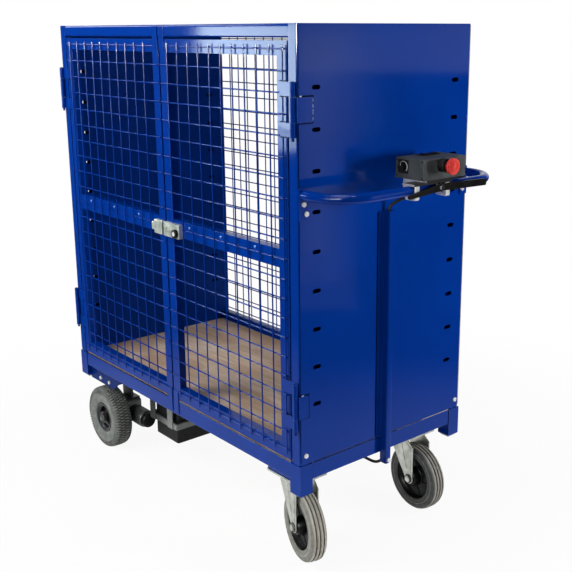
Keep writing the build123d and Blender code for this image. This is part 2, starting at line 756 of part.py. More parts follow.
def door_mesh(side, first, count):
    """Mesh on the front of a door, cut back round the tabs, the straps and the latch."""
    xs = [side * (first + i * MESH_PITCH) for i in range(count)]
    zs = [MESH_TOP - i * MESH_PITCH for i in range(MESH_ROWS)]
    ends = (side * (DOOR_IN + MESH_MEETING_EDGE), side * (DOOR_OUT - MESH_HINGE_EDGE))
    face = mesh_face(
        xs, zs, min(ends), max(ends), zs[-1] - MESH_END, zs[0] + MESH_END
    )
    away = MESH_CLEARANCE
    tab_out = side * (DOOR_IN + TAB_EDGE + TAB_WIDTH + away)
    cuts = [(0, tab_out, low - away, high + away) for low, high in TAB_SPANS]
    latch_out = LATCH_EDGE + (CASE_WIDTH if side > 0 else KEEPER_WIDTH) + DOOR_IN + away
    cuts.append((0, side * latch_out, LATCH_BOTTOM - away, LATCH_BOTTOM + LATCH_HEIGHT + away))
    for bottom in HINGE_BOTTOMS:
        for low in (bottom, bottom + DOOR_KNUCKLE + BODY_KNUCKLE + 2 * KNUCKLE_GAP):
            cuts.append((
                side * (STRAP_INNER - away), side * HALF_L, low - away, low + DOOR_KNUCKLE + away
            ))
    for x0, x1, z0, z1 in cuts:
        face -= Pos((x0 + x1) / 2, (z0 + z1) / 2) * Rectangle(abs(x1 - x0), z1 - z0)
    solid = extrude(Plane.XZ.offset(HALF_W) * face, amount=MESH_DEPTH)
    return solid.solids().sort_by(SortBy.VOLUME)[-1]


nodes["left_door_frame"] = door_frame(-1, LEFT_MESH_FIRST)
nodes["right_door_frame"] = door_frame(1, RIGHT_MESH_FIRST)
nodes["left_door_mesh"] = door_mesh(-1, LEFT_MESH_FIRST, LEFT_MESH_WIRES)
nodes["right_door_mesh"] = door_mesh(1, RIGHT_MESH_FIRST, RIGHT_MESH_WIRES)
nodes["left_door_hinge_straps"] = door_straps(-1)
nodes["right_door_hinge_straps"] = door_straps(1)

# Hinge leaves that wrap the cage corners, and the pins
leaves = []
pins = []
for side in SIDES:
    pin_x = side * PIN_X
    for bottom, reach in zip(HINGE_BOTTOMS, LEAF_REACHES):
        low = bottom + DOOR_KNUCKLE + KNUCKLE_GAP
        high = low + BODY_KNUCKLE
        outer_x = side * (HALF_L + LEAF_SHEET)
        leaf = span(pin_x, outer_x, FACE_Y - LEAF_SHEET, FACE_Y, low, high)
        leaf += span(side * HALF_L, outer_x, FACE_Y - LEAF_SHEET, FACE_Y + reach, low, high)
        leaf += rod((pin_x, PIN_Y, low), (pin_x, PIN_Y, high), KNUCKLE_RADIUS)
        leaf -= rod((pin_x, PIN_Y, low), (pin_x, PIN_Y, high), PIN_RADIUS + PIN_CLEARANCE)
        leaves.append(leaf)
        pins.append(rod(
            (pin_x, PIN_Y, bottom - PIN_TIP), (pin_x, PIN_Y, bottom + HINGE_LENGTH + PIN_HEAD), PIN_RADIUS
        ))
nodes["hinge_body_leaves"] = group(leaves)
nodes["hinge_pins"] = group(pins)

# Latch: keeper on the left door, case, bolt and lock on the right door
LATCH_TOP = LATCH_BOTTOM + LATCH_HEIGHT
LATCH_FRONT = FACE_Y - LATCH_DEPTH
BOLT_Y = FACE_Y - BOLT_BACK
slot_z0 = BOLT_CENTRE - BOLT_HEIGHT / 2 - BOLT_CLEARANCE
slot_z1 = BOLT_CENTRE + BOLT_HEIGHT / 2 + BOLT_CLEARANCE
slot_y0 = BOLT_Y - BOLT_DEPTH - BOLT_CLEARANCE
slot_y1 = BOLT_Y + BOLT_CLEARANCE
keeper_in = -(DOOR_IN + LATCH_EDGE)
keeper_out = keeper_in - KEEPER_WIDTH
keeper = span(keeper_out, keeper_in, LATCH_FRONT, FACE_Y, LATCH_BOTTOM, LATCH_TOP)
for low, high in ((LATCH_BOTTOM, LATCH_BOTTOM + KEEPER_STEP_Z), (LATCH_TOP - KEEPER_STEP_Z, LATCH_TOP)):
    keeper -= span(keeper_out, keeper_out + KEEPER_STEP_X, LATCH_FRONT, FACE_Y, low, high)
keeper -= span(
    keeper_in - BOLT_TRAVEL - KEEPER_STEP_X, keeper_in, slot_y0, slot_y1, slot_z0, slot_z1
)
nodes["latch_keeper"] = keeper

case_in = DOOR_IN + LATCH_EDGE
case_out = case_in + CASE_WIDTH
bolt_tip = case_in + BOLT_SETBACK
bolt_end = bolt_tip + BOLT_LENGTH
knob_x = bolt_tip + BOLT_KNOB_INSET
case = span(case_in, case_out, LATCH_FRONT, FACE_Y, LATCH_BOTTOM, LATCH_TOP)
case -= span(case_in, bolt_end + BOLT_CLEARANCE, slot_y0, slot_y1, slot_z0, slot_z1)
knob_gap = BOLT_KNOB_RADIUS + BOLT_CLEARANCE
case -= span(
    knob_x - BOLT_TRAVEL - knob_gap, knob_x + knob_gap, LATCH_FRONT, slot_y0,
    BOLT_CENTRE - knob_gap, BOLT_CENTRE + knob_gap,
)
case -= rod((LOCK_X, LATCH_FRONT, LOCK_Z), (LOCK_X, FACE_Y, LOCK_Z), LOCK_RADIUS + LOCK_CLEARANCE)
nodes["latch_case"] = case.solids().sort_by(SortBy.VOLUME)[-1]

bolt_bar = span(
    bolt_tip, bolt_end, BOLT_Y - BOLT_DEPTH, BOLT_Y,
    BOLT_CENTRE - BOLT_HEIGHT / 2, BOLT_CENTRE + BOLT_HEIGHT / 2,
)
bolt_bar -= rod(
    (LOCK_X, LATCH_FRONT, LOCK_Z), (LOCK_X, FACE_Y, LOCK_Z), LOCK_RADIUS + BOLT_CLEARANCE
)
bolt_bar += rod(
    (knob_x, BOLT_Y - BOLT_DEPTH, BOLT_CENTRE),
    (knob_x, LATCH_FRONT - BOLT_KNOB_PROUD, BOLT_CENTRE), BOLT_KNOB_RADIUS,
)
nodes["latch_bolt"] = bolt_bar

LOCK_FRONT = LATCH_FRONT - LOCK_PROUD
lock = rod((LOCK_X, FACE_Y, LOCK_Z), (LOCK_X, LOCK_FRONT, LOCK_Z), LOCK_RADIUS)
lock -= rod(
    (LOCK_X, LOCK_FRONT + KEY_DEPTH, LOCK_Z), (LOCK_X, LOCK_FRONT, LOCK_Z), KEY_RADIUS + KEY_CLEARANCE
)
nodes["lock_body"] = lock
key_front = LOCK_FRONT - KEY_PROUD
key = rod((LOCK_X, LOCK_FRONT + KEY_DEPTH, LOCK_Z), (LOCK_X, key_front, LOCK_Z), KEY_RADIUS)
key -= span(
    LOCK_X - KEYWAY_WIDTH / 2, LOCK_X + KEYWAY_WIDTH / 2, key_front, key_front + KEYWAY_DEPTH,
    LOCK_Z - KEYWAY_HEIGHT / 2, LOCK_Z + KEYWAY_HEIGHT / 2,
)
nodes["lock_cylinder"] = key

# Push handle: bent tube with a plate at each end
root_x = HALF_L + HANDLE_PLATE
handle_line = FilletPolyline(
    (root_x, -HANDLE_HALF_SPAN, HANDLE_HEIGHT), (HANDLE_X, -HANDLE_HALF_SPAN, HANDLE_HEIGHT),
    (HANDLE_X, HANDLE_HALF_SPAN, HANDLE_HEIGHT), (root_x, HANDLE_HALF_SPAN, HANDLE_HEIGHT),
    radius=HANDLE_BEND,
)
root_plane = Plane(origin=(root_x, -HANDLE_HALF_SPAN, HANDLE_HEIGHT), z_dir=(1, 0, 0))
handle = sweep(root_plane * Circle(HANDLE_RADIUS), path=handle_line)
handle -= sweep(root_plane * Circle(HANDLE_RADIUS - HANDLE_WALL), path=handle_line)
bolts = []
handle_holes = []
for sy in SIDES:
    handle += span(
        HALF_L, root_x, sy * HANDLE_HALF_SPAN - HANDLE_PLATE_WIDTH / 2,
        sy * HANDLE_HALF_SPAN + HANDLE_PLATE_WIDTH / 2, HANDLE_PLATE_BOTTOM, HANDLE_PLATE_TOP,
    )
    for dy, dz in HANDLE_BOLT_OFFSETS:
        y = sy * (HANDLE_HALF_SPAN + dy)
        z = HANDLE_HEIGHT + dz
        ends = ((root_x, y, z), (HALF_L - SHEET, y, z))
        handle_holes.append(bolt_hole(*ends))
        bolts.append(bolt(*ends, (1, 0, 0)))
handle -= handle_holes
panels[1] -= handle_holes
nodes["push_handle"] = handle

# Bolts that hold the end panels to the uprights of the feet
for sx in SIDES:
    for sy in SIDES:
        y = sy * (HALF_W - FOOT_BOLT_INSET)
        ends = (
            (sx * HALF_L, y, FOOT_BOLT_Z), (sx * (HALF_L - SHEET - UPRIGHT_SHEET), y, FOOT_BOLT_Z)
        )
        panels[sx] -= bolt_hole(*ends)
        feet = [foot - bolt_hole(*ends) for foot in feet]
        bolts.append(bolt(*ends, (sx, 0, 0)))
nodes["corner_feet"] = group(feet)
nodes["handle_end_panel"] = panels[1]
nodes["drive_end_panel"] = panels[-1]

# Control box bracket: plate on the tube, shelf under the box, ear, lug and stud for the lever
seat_z = HANDLE_HEIGHT + HANDLE_RADIUS + TUBE_SEAT_CLEARANCE
shelf_z = BOX_BOTTOM - BRACKET_SHELF
bracket = span(
    BRACKET_BASE_BACK, BRACKET_FRONT, BRACKET_BASE_LEFT, BRACKET_BASE_RIGHT, seat_z, shelf_z
)
bracket += span(
    BRACKET_SHELF_BACK, BRACKET_FRONT, BRACKET_SHELF_LEFT, BRACKET_SHELF_RIGHT, shelf_z, BOX_BOTTOM
)
bracket += span(
    BRACKET_SHELF_BACK, BRACKET_EAR_FRONT, BRACKET_SHELF_LEFT, BRACKET_SHELF_LEFT + BRACKET_EAR,
    BRACKET_EAR_BOTTOM, shelf_z,
)
bracket += span(
    BRACKET_FRONT - LUG_SHEET, BRACKET_FRONT, LEVER_Y - LUG_WIDTH / 2, LEVER_Y + LUG_WIDTH / 2,
    LEVER_Z - LUG_DROP, shelf_z,
)
lever_back = BRACKET_FRONT + LEVER_GAP
lever_front = lever_back + LEVER_THICKNESS
stud_end = lever_front + LEVER_GAP
bracket += rod((BRACKET_FRONT, LEVER_Y, LEVER_Z), (stud_end, LEVER_Y, LEVER_Z), STUD_RADIUS)
bracket += hexagon((stud_end, LEVER_Y, LEVER_Z), (stud_end + STUD_HEAD, LEVER_Y, LEVER_Z), STUD_HEAD_RADIUS)
nodes["control_bracket"] = bracket

clamps = []
clamp_low = HANDLE_HEIGHT - HANDLE_RADIUS - CLAMP_FLOOR
for y in CLAMP_YS:
    clamp = span(
        HANDLE_X - CLAMP_SPAN / 2, HANDLE_X + CLAMP_SPAN / 2, y - CLAMP_WIDTH / 2, y + CLAMP_WIDTH / 2,
        clamp_low, seat_z,
    )
    clamp = fillet(clamp.edges().filter_by(Axis.Y).group_by(Axis.Z)[0], CLAMP_ROUND)
    bore = HANDLE_RADIUS + TUBE_SEAT_CLEARANCE
    ends = ((HANDLE_X, y - CLAMP_WIDTH, HANDLE_HEIGHT), (HANDLE_X, y + CLAMP_WIDTH, HANDLE_HEIGHT))
    clamp -= rod(*ends, bore)
    clamp -= span(
        HANDLE_X - bore, HANDLE_X + bore, y - CLAMP_WIDTH, y + CLAMP_WIDTH, HANDLE_HEIGHT, seat_z
    )
    clamps.append(clamp)
nodes["tube_clamps"] = group(clamps)

# Control box: base plate and shell with the switch bezel and the dial plate moulded on
base_top = BOX_BOTTOM + BOX_BASE
gland_x = CABLE_START_X
gland_y = CABLE_START_Y
box_base = span(BOX_BACK, BOX_FRONT, BOX_LEFT, BOX_RIGHT, BOX_BOTTOM, base_top)
box_base -= rod(
    (gland_x, gland_y, BOX_BOTTOM), (gland_x, gland_y, base_top), GLAND_SHANK_RADIUS + BOLT_HOLE_CLEARANCE
)
nodes["control_box_base"] = box_base

shell = span(BOX_BACK, BOX_FRONT, BOX_LEFT, BOX_RIGHT, base_top, BOX_TOP)
shell = fillet(shell.edges().filter_by(Axis.Z) + shell.faces().sort_by(Axis.Z)[-1].edges(), BOX_ROUND)
shell -= span(
    BOX_BACK + BOX_WALL, BOX_FRONT - BOX_WALL, BOX_LEFT + BOX_WALL, BOX_RIGHT - BOX_WALL,
    base_top, BOX_TOP - BOX_WALL,
)
bezel_top = BOX_TOP + SWITCH_BEZEL_HEIGHT
shell += span(
    SWITCH_X - SWITCH_BEZEL_WIDTH / 2, SWITCH_X + SWITCH_BEZEL_WIDTH / 2,
    SWITCH_Y - SWITCH_BEZEL_LENGTH / 2, SWITCH_Y + SWITCH_BEZEL_LENGTH / 2,
    BOX_TOP - BOX_WALL / 2, bezel_top,
)
shell += span(
    DIAL_X - DIAL_PLATE / 2, DIAL_X + DIAL_PLATE / 2, BOX_LEFT - DIAL_PLATE_THICKNESS,
    BOX_LEFT + BOX_WALL / 2, DIAL_Z - DIAL_PLATE / 2, DIAL_Z + DIAL_PLATE / 2,
)
shell -= span(
    SWITCH_X - SWITCH_WIDTH / 2 - SWITCH_GAP, SWITCH_X + SWITCH_WIDTH / 2 + SWITCH_GAP,
    SWITCH_Y - SWITCH_LENGTH / 2 - SWITCH_GAP, SWITCH_Y + SWITCH_LENGTH / 2 + SWITCH_GAP,
    BOX_TOP - BOX_WALL, bezel_top,
)
shell -= rod(
    (BOX_FRONT - BOX_WALL, STOP_Y, STOP_Z), (BOX_FRONT, STOP_Y, STOP_Z),
    STOP_STEM_RADIUS + STOP_CLEARANCE,
)
shell -= rod(
    (DIAL_X, BOX_LEFT - DIAL_PLATE_THICKNESS, DIAL_Z), (DIAL_X, BOX_LEFT + BOX_WALL, DIAL_Z),
    DIAL_SPINDLE_RADIUS + DIAL_CLEARANCE,
)
pivot_z = BOX_TOP - SWITCH_PIVOT_DROP
cheek_in = SWITCH_WIDTH / 2 + SWITCH_GAP
for sx in SIDES:
    shell += span(
        SWITCH_X + sx * cheek_in, SWITCH_X + sx * (cheek_in + BOX_WALL),
        SWITCH_Y - SWITCH_PIVOT_DROP, SWITCH_Y + SWITCH_PIVOT_DROP,
        pivot_z - SWITCH_PIVOT_DROP, BOX_TOP - BOX_WALL,
    )
    pivot_ends = (
        (SWITCH_X + sx * cheek_in, SWITCH_Y, pivot_z),
        (SWITCH_X + sx * (cheek_in + BOX_WALL), SWITCH_Y, pivot_z),
    )
    shell -= rod(*pivot_ends, SWITCH_PIVOT_RADIUS + SWITCH_PIVOT_CLEARANCE)
nodes["control_box"] = shell

# Rocker switch, dished on top, turning on two stub pivots
rocker_top = bezel_top + SWITCH_PROUD
rocker = span(
    SWITCH_X - SWITCH_WIDTH / 2, SWITCH_X + SWITCH_WIDTH / 2,
    SWITCH_Y - SWITCH_LENGTH / 2, SWITCH_Y + SWITCH_LENGTH / 2,
    pivot_z - SWITCH_PIVOT_RADIUS, rocker_top,
)
dish_radius = (SWITCH_LENGTH ** 2 / 4 + SWITCH_DISH ** 2) / (2 * SWITCH_DISH)
rocker -= rod(
    (SWITCH_X - SWITCH_WIDTH, SWITCH_Y, rocker_top + dish_radius - SWITCH_DISH),
    (SWITCH_X + SWITCH_WIDTH, SWITCH_Y, rocker_top + dish_radius - SWITCH_DISH), dish_radius,
)
pivot_reach = cheek_in + BOX_WALL
rocker += rod(
    (SWITCH_X - pivot_reach, SWITCH_Y, pivot_z), (SWITCH_X + pivot_reach, SWITCH_Y, pivot_z),
    SWITCH_PIVOT_RADIUS,
)
nodes["power_switch"] = rocker

# Emergency stop: collar on the box, mushroom head on a stem
collar_end = BOX_FRONT + STOP_COLLAR_LENGTH
collar = rod((BOX_FRONT, STOP_Y, STOP_Z), (collar_end, STOP_Y, STOP_Z), STOP_COLLAR_RADIUS)
collar -= rod(
    (BOX_FRONT, STOP_Y, STOP_Z), (collar_end, STOP_Y, STOP_Z), STOP_STEM_RADIUS + STOP_CLEARANCE
)
nodes["e_stop_collar"] = collar
head_back = collar_end + STOP_TRAVEL + STOP_HEAD_GAP
flare_end = head_back + STOP_HEAD_FLARE
rim_end = flare_end + STOP_HEAD_RIM
head_end = rim_end + STOP_HEAD_DOME
dome_radius = (STOP_HEAD_RADIUS ** 2 + STOP_HEAD_DOME ** 2) / (2 * STOP_HEAD_DOME)
dome_mid = head_end - dome_radius + math.sqrt(dome_radius ** 2 - STOP_HEAD_RADIUS ** 2 / 4)
button = rod((BOX_FRONT - STOP_STEM_INSIDE, STOP_Y, STOP_Z), (head_back, STOP_Y, STOP_Z), STOP_STEM_RADIUS)
profile = Plane(origin=(0, STOP_Y, STOP_Z), x_dir=(1, 0, 0), z_dir=(0, -1, 0)) * make_face([
    Line((head_back, 0), (head_back, STOP_NECK_RADIUS)),
    Line((head_back, STOP_NECK_RADIUS), (flare_end, STOP_HEAD_RADIUS)),
    Line((flare_end, STOP_HEAD_RADIUS), (rim_end, STOP_HEAD_RADIUS)),
    ThreePointArc((rim_end, STOP_HEAD_RADIUS), (dome_mid, STOP_HEAD_RADIUS / 2), (head_end, 0)),
    Line((head_end, 0), (head_back, 0)),
])
button += revolve(profile, Axis((0, STOP_Y, STOP_Z), (1, 0, 0)))
nodes["e_stop_button"] = button

# Speed dial: fluted knob on a spindle
knob_back = BOX_LEFT - DIAL_PLATE_THICKNESS - DIAL_GAP
knob_front = knob_back - DIAL_HEIGHT
dial = rod((DIAL_X, knob_back, DIAL_Z), (DIAL_X, knob_front, DIAL_Z), DIAL_RADIUS)
for i in range(DIAL_FLUTES):
    turn = 2 * math.pi * i / DIAL_FLUTES
    x = DIAL_X + DIAL_RADIUS * math.cos(turn)
    z = DIAL_Z + DIAL_RADIUS * math.sin(turn)
    dial -= rod((x, knob_back, z), (x, knob_front, z), DIAL_FLUTE_RADIUS)
dial += rod(
    (DIAL_X, BOX_LEFT + DIAL_SPINDLE_INSIDE, DIAL_Z), (DIAL_X, knob_back, DIAL_Z), DIAL_SPINDLE_RADIUS
)
nodes["speed_dial"] = dial


# Throttle lever: hub with a blade to each side
def blade(reach, drop, end_width, sign):
    half = LEVER_BLADE / 2
    end = end_width / 2
    outline = make_face(Polyline(
        (0, half), (sign * reach, end - drop), (sign * reach, -end - drop), (0, -half), close=True
    ))
    tip = outline.vertices().sort_by(Axis.X)
    tip = tip[-2:] if sign > 0 else tip[:2]
    return fillet(tip, LEVER_TIP_ROUND)


lever_face = Circle(LEVER_HUB_RADIUS)
lever_face += blade(LEVER_LEFT_REACH, LEVER_LEFT_DROP, LEVER_LEFT_TIP, -1)
lever_face += blade(LEVER_RIGHT_REACH, LEVER_RIGHT_DROP, LEVER_RIGHT_TIP, 1)
lever_face -= Circle(STUD_RADIUS + LEVER_BORE_CLEARANCE)
lever_plane = Plane(origin=(lever_back, LEVER_Y, LEVER_Z), x_dir=(0, 1, 0), z_dir=(1, 0, 0))
nodes["throttle_lever"] = extrude(lever_plane * lever_face, amount=LEVER_THICKNESS)

# Cable channel: folded top-hat on the end panel, its flanges stop above the end rail
ch_left = CHANNEL_Y - CHANNEL_WIDTH / 2 + SHEET / 2
ch_right = CHANNEL_Y + CHANNEL_WIDTH / 2 - SHEET / 2
ch_in = HALF_L + SHEET / 2
ch_out = HALF_L + CHANNEL_DEPTH - SHEET / 2
hat = strip([
    (ch_in, ch_left - CHANNEL_FLANGE), (ch_in, ch_left), (ch_out, ch_left),
    (ch_out, ch_right), (ch_in, ch_right), (ch_in, ch_right + CHANNEL_FLANGE),
], SHEET, CHANNEL_BEND)
channel = Pos(0, 0, CHANNEL_BOTTOM) * extrude(hat, amount=CHANNEL_TOP - CHANNEL_BOTTOM)
for sy in SIDES:
    edge = CHANNEL_Y + sy * CHANNEL_WIDTH / 2
    channel -= span(
        HALF_L - SHEET, HALF_L + SHEET + CHANNEL_BEND, edge, edge + sy * 2 * CHANNEL_FLANGE,
        CHANNEL_BOTTOM - SHEET, CHANNEL_FLANGE_BOTTOM,
    )
nodes["cable_channel"] = channel

# Control cable from the box through the channel and under the deck to the controller
controller_x = BEARER_XS[-1]
controller_front = controller_x + CONTROLLER_LENGTH / 2
cable_top = BOX_BOTTOM - GLAND_LENGTH
cable_end_x = controller_front + GLAND_LENGTH
cable_points = [
    (CABLE_START_X, CABLE_START_Y, cable_top),
    (CABLE_START_X, CABLE_START_Y, cable_top - CABLE_HANG),
    (CABLE_X, CHANNEL_Y, CHANNEL_TOP + CABLE_KNEE),
    (CABLE_X, CHANNEL_Y, CABLE_LOW),
    (CABLE_DIP_END, CHANNEL_Y, CABLE_LOW),
    (CABLE_RISE_END, CHANNEL_Y, CABLE_HIGH),
    (cable_end_x, CHANNEL_Y, CABLE_HIGH),
]
cable_line = FilletPolyline(*cable_points, radius=list(CABLE_BENDS))
start_plane = Plane(origin=cable_points[0], z_dir=(0, 0, -1))
cable = sweep(start_plane * Circle(CABLE_RADIUS), path=cable_line)
nodes["control_cable"] = cable
cable_volume = math.pi * CABLE_RADIUS ** 2 * cable_line.length
print("control cable: bend radii", CABLE_BENDS, "length", round(cable_line.length, 1))
print("volume", round(cable.volume), "section times length", round(cable_volume))

gland_top = rod((gland_x, gland_y, cable_top), (gland_x, gland_y, BOX_BOTTOM), GLAND_RADIUS)
gland_top += rod((gland_x, gland_y, BOX_BOTTOM), (gland_x, gland_y, base_top), GLAND_SHANK_RADIUS)
gland_end = rod(
    (cable_end_x, CHANNEL_Y, CABLE_HIGH), (controller_front, CHANNEL_Y, CABLE_HIGH), GLAND_RADIUS
)
nodes["cable_glands"] = group([gland_top, gland_end])

# Drive brackets under the front and rear rails
brackets = []
for sy in SIDES:
    face = make_face(Polyline(
        (DRIVE_BRACKET_LEFT, RAIL_BOTTOM), (DRIVE_BRACKET_LEFT, DRIVE_BRACKET_BOTTOM + DRIVE_BRACKET_STEP),
        (DRIVE_BRACKET_FOOT_LEFT, DRIVE_BRACKET_BOTTOM), (DRIVE_BRACKET_FOOT_RIGHT, DRIVE_BRACKET_BOTTOM),
        (DRIVE_BRACKET_RIGHT, RAIL_BOTTOM), close=True,
    ))
    outer = sy * (HALF_W - DRIVE_BRACKET_INSET)
    inner = outer - sy * DRIVE_BRACKET_SHEET
    plate = extrude(Plane.XZ.offset(-outer) * face, amount=sy * DRIVE_BRACKET_SHEET)
    plate -= span(
        DRIVE_BRACKET_LEFT, -RAIL_END_X, outer, inner, FOOT_BOTTOM, RAIL_BOTTOM
    )
    plate += span(
        -RAIL_END_X, DRIVE_BRACKET_RIGHT, inner, inner - sy * DRIVE_BRACKET_FLANGE,
        RAIL_BOTTOM - DRIVE_BRACKET_SHEET, RAIL_BOTTOM,
    )
    for x in DRIVE_BOLT_XS:
        ends = ((x, outer, DRIVE_BOLT_Z), (x, inner, DRIVE_BOLT_Z))
        plate -= bolt_hole(*ends)
    brackets.append(plate)
nodes["drive_brackets"] = group(brackets)

# Drive beam with a hanger over each gearbox
beam_end = HALF_W - DRIVE_BRACKET_INSET - DRIVE_BRACKET_SHEET
gearbox_top = DRIVE_WHEEL_RADIUS + GEARBOX_ABOVE
beam = lying_tube(
    DRIVE_X - BEAM_WIDTH / 2, DRIVE_X + BEAM_WIDTH / 2, -beam_end, beam_end,
    BEAM_BOTTOM, BEAM_BOTTOM + BEAM_HEIGHT, BEAM_WALL, "Y",
)
for sy in SIDES:
    beam += span(
        DRIVE_X - HANGER_LENGTH / 2, DRIVE_X + HANGER_LENGTH / 2,
        sy * GEARBOX_Y - HANGER_SHEET / 2, sy * GEARBOX_Y + HANGER_SHEET / 2,
        gearbox_top + GEARBOX_FLANGE, BEAM_BOTTOM,
    )
    beam += span(
        DRIVE_X - HANGER_LENGTH / 2, DRIVE_X + HANGER_LENGTH / 2,
        sy * GEARBOX_Y - GEARBOX_WIDTH / 2, sy * GEARBOX_Y + GEARBOX_WIDTH / 2,
        gearbox_top, gearbox_top + GEARBOX_FLANGE,
    )
    for x in DRIVE_BOLT_XS:
        outer = sy * (HALF_W - DRIVE_BRACKET_INSET)
        bolts.append(rod(
            (x, outer, DRIVE_BOLT_Z), (x, sy * beam_end, DRIVE_BOLT_Z), BOLT_RADIUS
        ) + hexagon((x, outer, DRIVE_BOLT_Z), (x, outer + sy * BOLT_HEAD, DRIVE_BOLT_Z), BOLT_HEAD_RADIUS))
nodes["drive_beam"] = beam

# Gearboxes, motors and brake covers
gearboxes = []
motors = []
brakes = []
shaft_in = GEARBOX_Y + GEARBOX_WIDTH / 2 - SHAFT_INSIDE
motor_back = DRIVE_X + GEARBOX_LENGTH / 2
motor_end = motor_back + MOTOR_LENGTH
for sy in SIDES:
    y = sy * GEARBOX_Y
    housing = span(
        DRIVE_X - GEARBOX_LENGTH / 2, motor_back, y - GEARBOX_WIDTH / 2, y + GEARBOX_WIDTH / 2,
        DRIVE_WHEEL_RADIUS - GEARBOX_BELOW, gearbox_top,
    )
    housing = fillet(housing.edges().filter_by(Axis.Y), GEARBOX_ROUND)
    housing -= rod(
        (DRIVE_X, sy * shaft_in, DRIVE_WHEEL_RADIUS),
        (DRIVE_X, y + sy * GEARBOX_WIDTH, DRIVE_WHEEL_RADIUS), SHAFT_RADIUS + SHAFT_CLEARANCE,
    )
    gearboxes.append(housing)
    can = rod((motor_back, y, MOTOR_Z), (motor_end, y, MOTOR_Z), MOTOR_RADIUS)
    motors.append(fillet(can.edges().sort_by(Axis.X)[-1], MOTOR_ROUND))
    cover = rod((motor_end, y, MOTOR_Z), (motor_end + BRAKE_LENGTH, y, MOTOR_Z), BRAKE_RADIUS)
    brakes.append(fillet(cover.edges().sort_by(Axis.X)[-1], BRAKE_ROUND))
nodes["gearbox_housings"] = group(gearboxes)
nodes["drive_motors"] = group(motors)
nodes["motor_brake_covers"] = group(brakes)

# Battery cradle: ring of flat bar hung on straps from the bearers
ring_low = CRADLE_TOP - CRADLE_BAR_HEIGHT
cradle = span(
    CRADLE_LEFT, CRADLE_RIGHT, -CRADLE_HALF_WIDTH, CRADLE_HALF_WIDTH, ring_low, CRADLE_TOP
)
cradle -= span(
    CRADLE_LEFT + CRADLE_BAR, CRADLE_RIGHT - CRADLE_BAR,
    -CRADLE_HALF_WIDTH + CRADLE_BAR, CRADLE_HALF_WIDTH - CRADLE_BAR, ring_low, CRADLE_TOP,
)
for sy in SIDES:
    for x in BEARER_XS[1:]:
        y_out = sy * CRADLE_HALF_WIDTH
        x0 = max(x - STRAP_WIDTH / 2, CRADLE_LEFT)
        cradle += span(x0, x0 + STRAP_WIDTH, y_out, y_out + sy * STRAP_SHEET, ring_low, RAIL_BOTTOM)
        cradle += span(
            x0, x0 + STRAP_WIDTH, y_out, y_out - sy * STRAP_FOOT, RAIL_BOTTOM - STRAP_SHEET, RAIL_BOTTOM
        )
nodes["battery_cradle"] = cradle

# Battery case hung in the cradle by its lip, with a lid and two batteries
case_x0 = CRADLE_LEFT + CRADLE_BAR + CASE_CLEARANCE
case_x1 = CRADLE_RIGHT - CRADLE_BAR - CASE_CLEARANCE
case_y = CRADLE_HALF_WIDTH - CRADLE_BAR - CASE_CLEARANCE
tub = span(case_x0, case_x1, -case_y, case_y, CASE_BOTTOM, CASE_TOP)
tub = fillet(tub.edges().filter_by(Axis.Z), CASE_ROUND)
tub += span(
    case_x0 - CASE_LIP_REACH, case_x1 + CASE_LIP_REACH, -case_y - CASE_LIP_REACH, case_y + CASE_LIP_REACH,
    CRADLE_TOP, CRADLE_TOP + CASE_LIP,
)
tub -= span(
    case_x0 + CASE_WALL, case_x1 - CASE_WALL, -case_y + CASE_WALL, case_y - CASE_WALL,
    CASE_BOTTOM + CASE_WALL, CASE_TOP,
)
lid = span(case_x0, case_x1, -case_y, case_y, CASE_TOP, CASE_TOP + LID_THICKNESS)
lid = fillet(lid.edges().filter_by(Axis.Z), CASE_ROUND)
nodes["battery_case"] = tub
nodes["battery_lid"] = lid
cells = []
for sy in SIDES:
    cells.append(span(
        case_x0 + CASE_WALL + BATTERY_GAP, case_x1 - CASE_WALL - BATTERY_GAP,
        sy * BATTERY_SPACING / 2, sy * (case_y - CASE_WALL - BATTERY_GAP),
        CASE_BOTTOM + CASE_WALL, CASE_BOTTOM + CASE_WALL + BATTERY_HEIGHT,
    ))
nodes["batteries"] = group(cells)

controller = span(
    controller_x - CONTROLLER_LENGTH / 2, controller_front, -CONTROLLER_WIDTH / 2, CONTROLLER_WIDTH / 2,
    RAIL_BOTTOM - CONTROLLER_HEIGHT, RAIL_BOTTOM,
)
nodes["drive_controller"] = fillet(controller.edges().filter_by(Axis.Z), CONTROLLER_ROUND)

# Castor plates with their kingpins and upper races, bolted under the bearer
plates = []
plate_low = CASTOR_HEIGHT - CASTOR_PLATE
race_low = plate_low - RACE_HEIGHT
crown_top = race_low - SWIVEL_GAP
crown_low = crown_top - FORK_CROWN
for sy in SIDES:
    y = sy * CASTOR_Y
    plate = span(
        CASTOR_X - CASTOR_PLATE_LENGTH / 2, CASTOR_X + CASTOR_PLATE_LENGTH / 2,
        y - CASTOR_PLATE_WIDTH / 2, y + CASTOR_PLATE_WIDTH / 2, plate_low, CASTOR_HEIGHT,
    )
    plate = fillet(plate.edges().filter_by(Axis.Z), CASTOR_PLATE_ROUND)
    for dx in SIDES:
        for dy in SIDES:
            x = CASTOR_X + dx * CASTOR_BOLT_X / 2
            yb = y + dy * CASTOR_BOLT_Y / 2
            ends = ((x, yb, plate_low), (x, yb, CASTOR_HEIGHT + CASTOR_BEARER_WALL))
            plate -= bolt_hole(*ends)
            castor_bearer -= bolt_hole(*ends)
            bolts.append(bolt(*ends, (0, 0, -1)))
    plate += rod((CASTOR_X, y, race_low), (CASTOR_X, y, plate_low), RACE_RADIUS)
    plate += rod((CASTOR_X, y, crown_low - SWIVEL_GAP), (CASTOR_X, y, race_low), KINGPIN_RADIUS)
    nut_top = crown_low - SWIVEL_GAP
    plate += hexagon((CASTOR_X, y, nut_top - KINGPIN_NUT), (CASTOR_X, y, nut_top), KINGPIN_NUT_RADIUS)
    plates.append(plate)
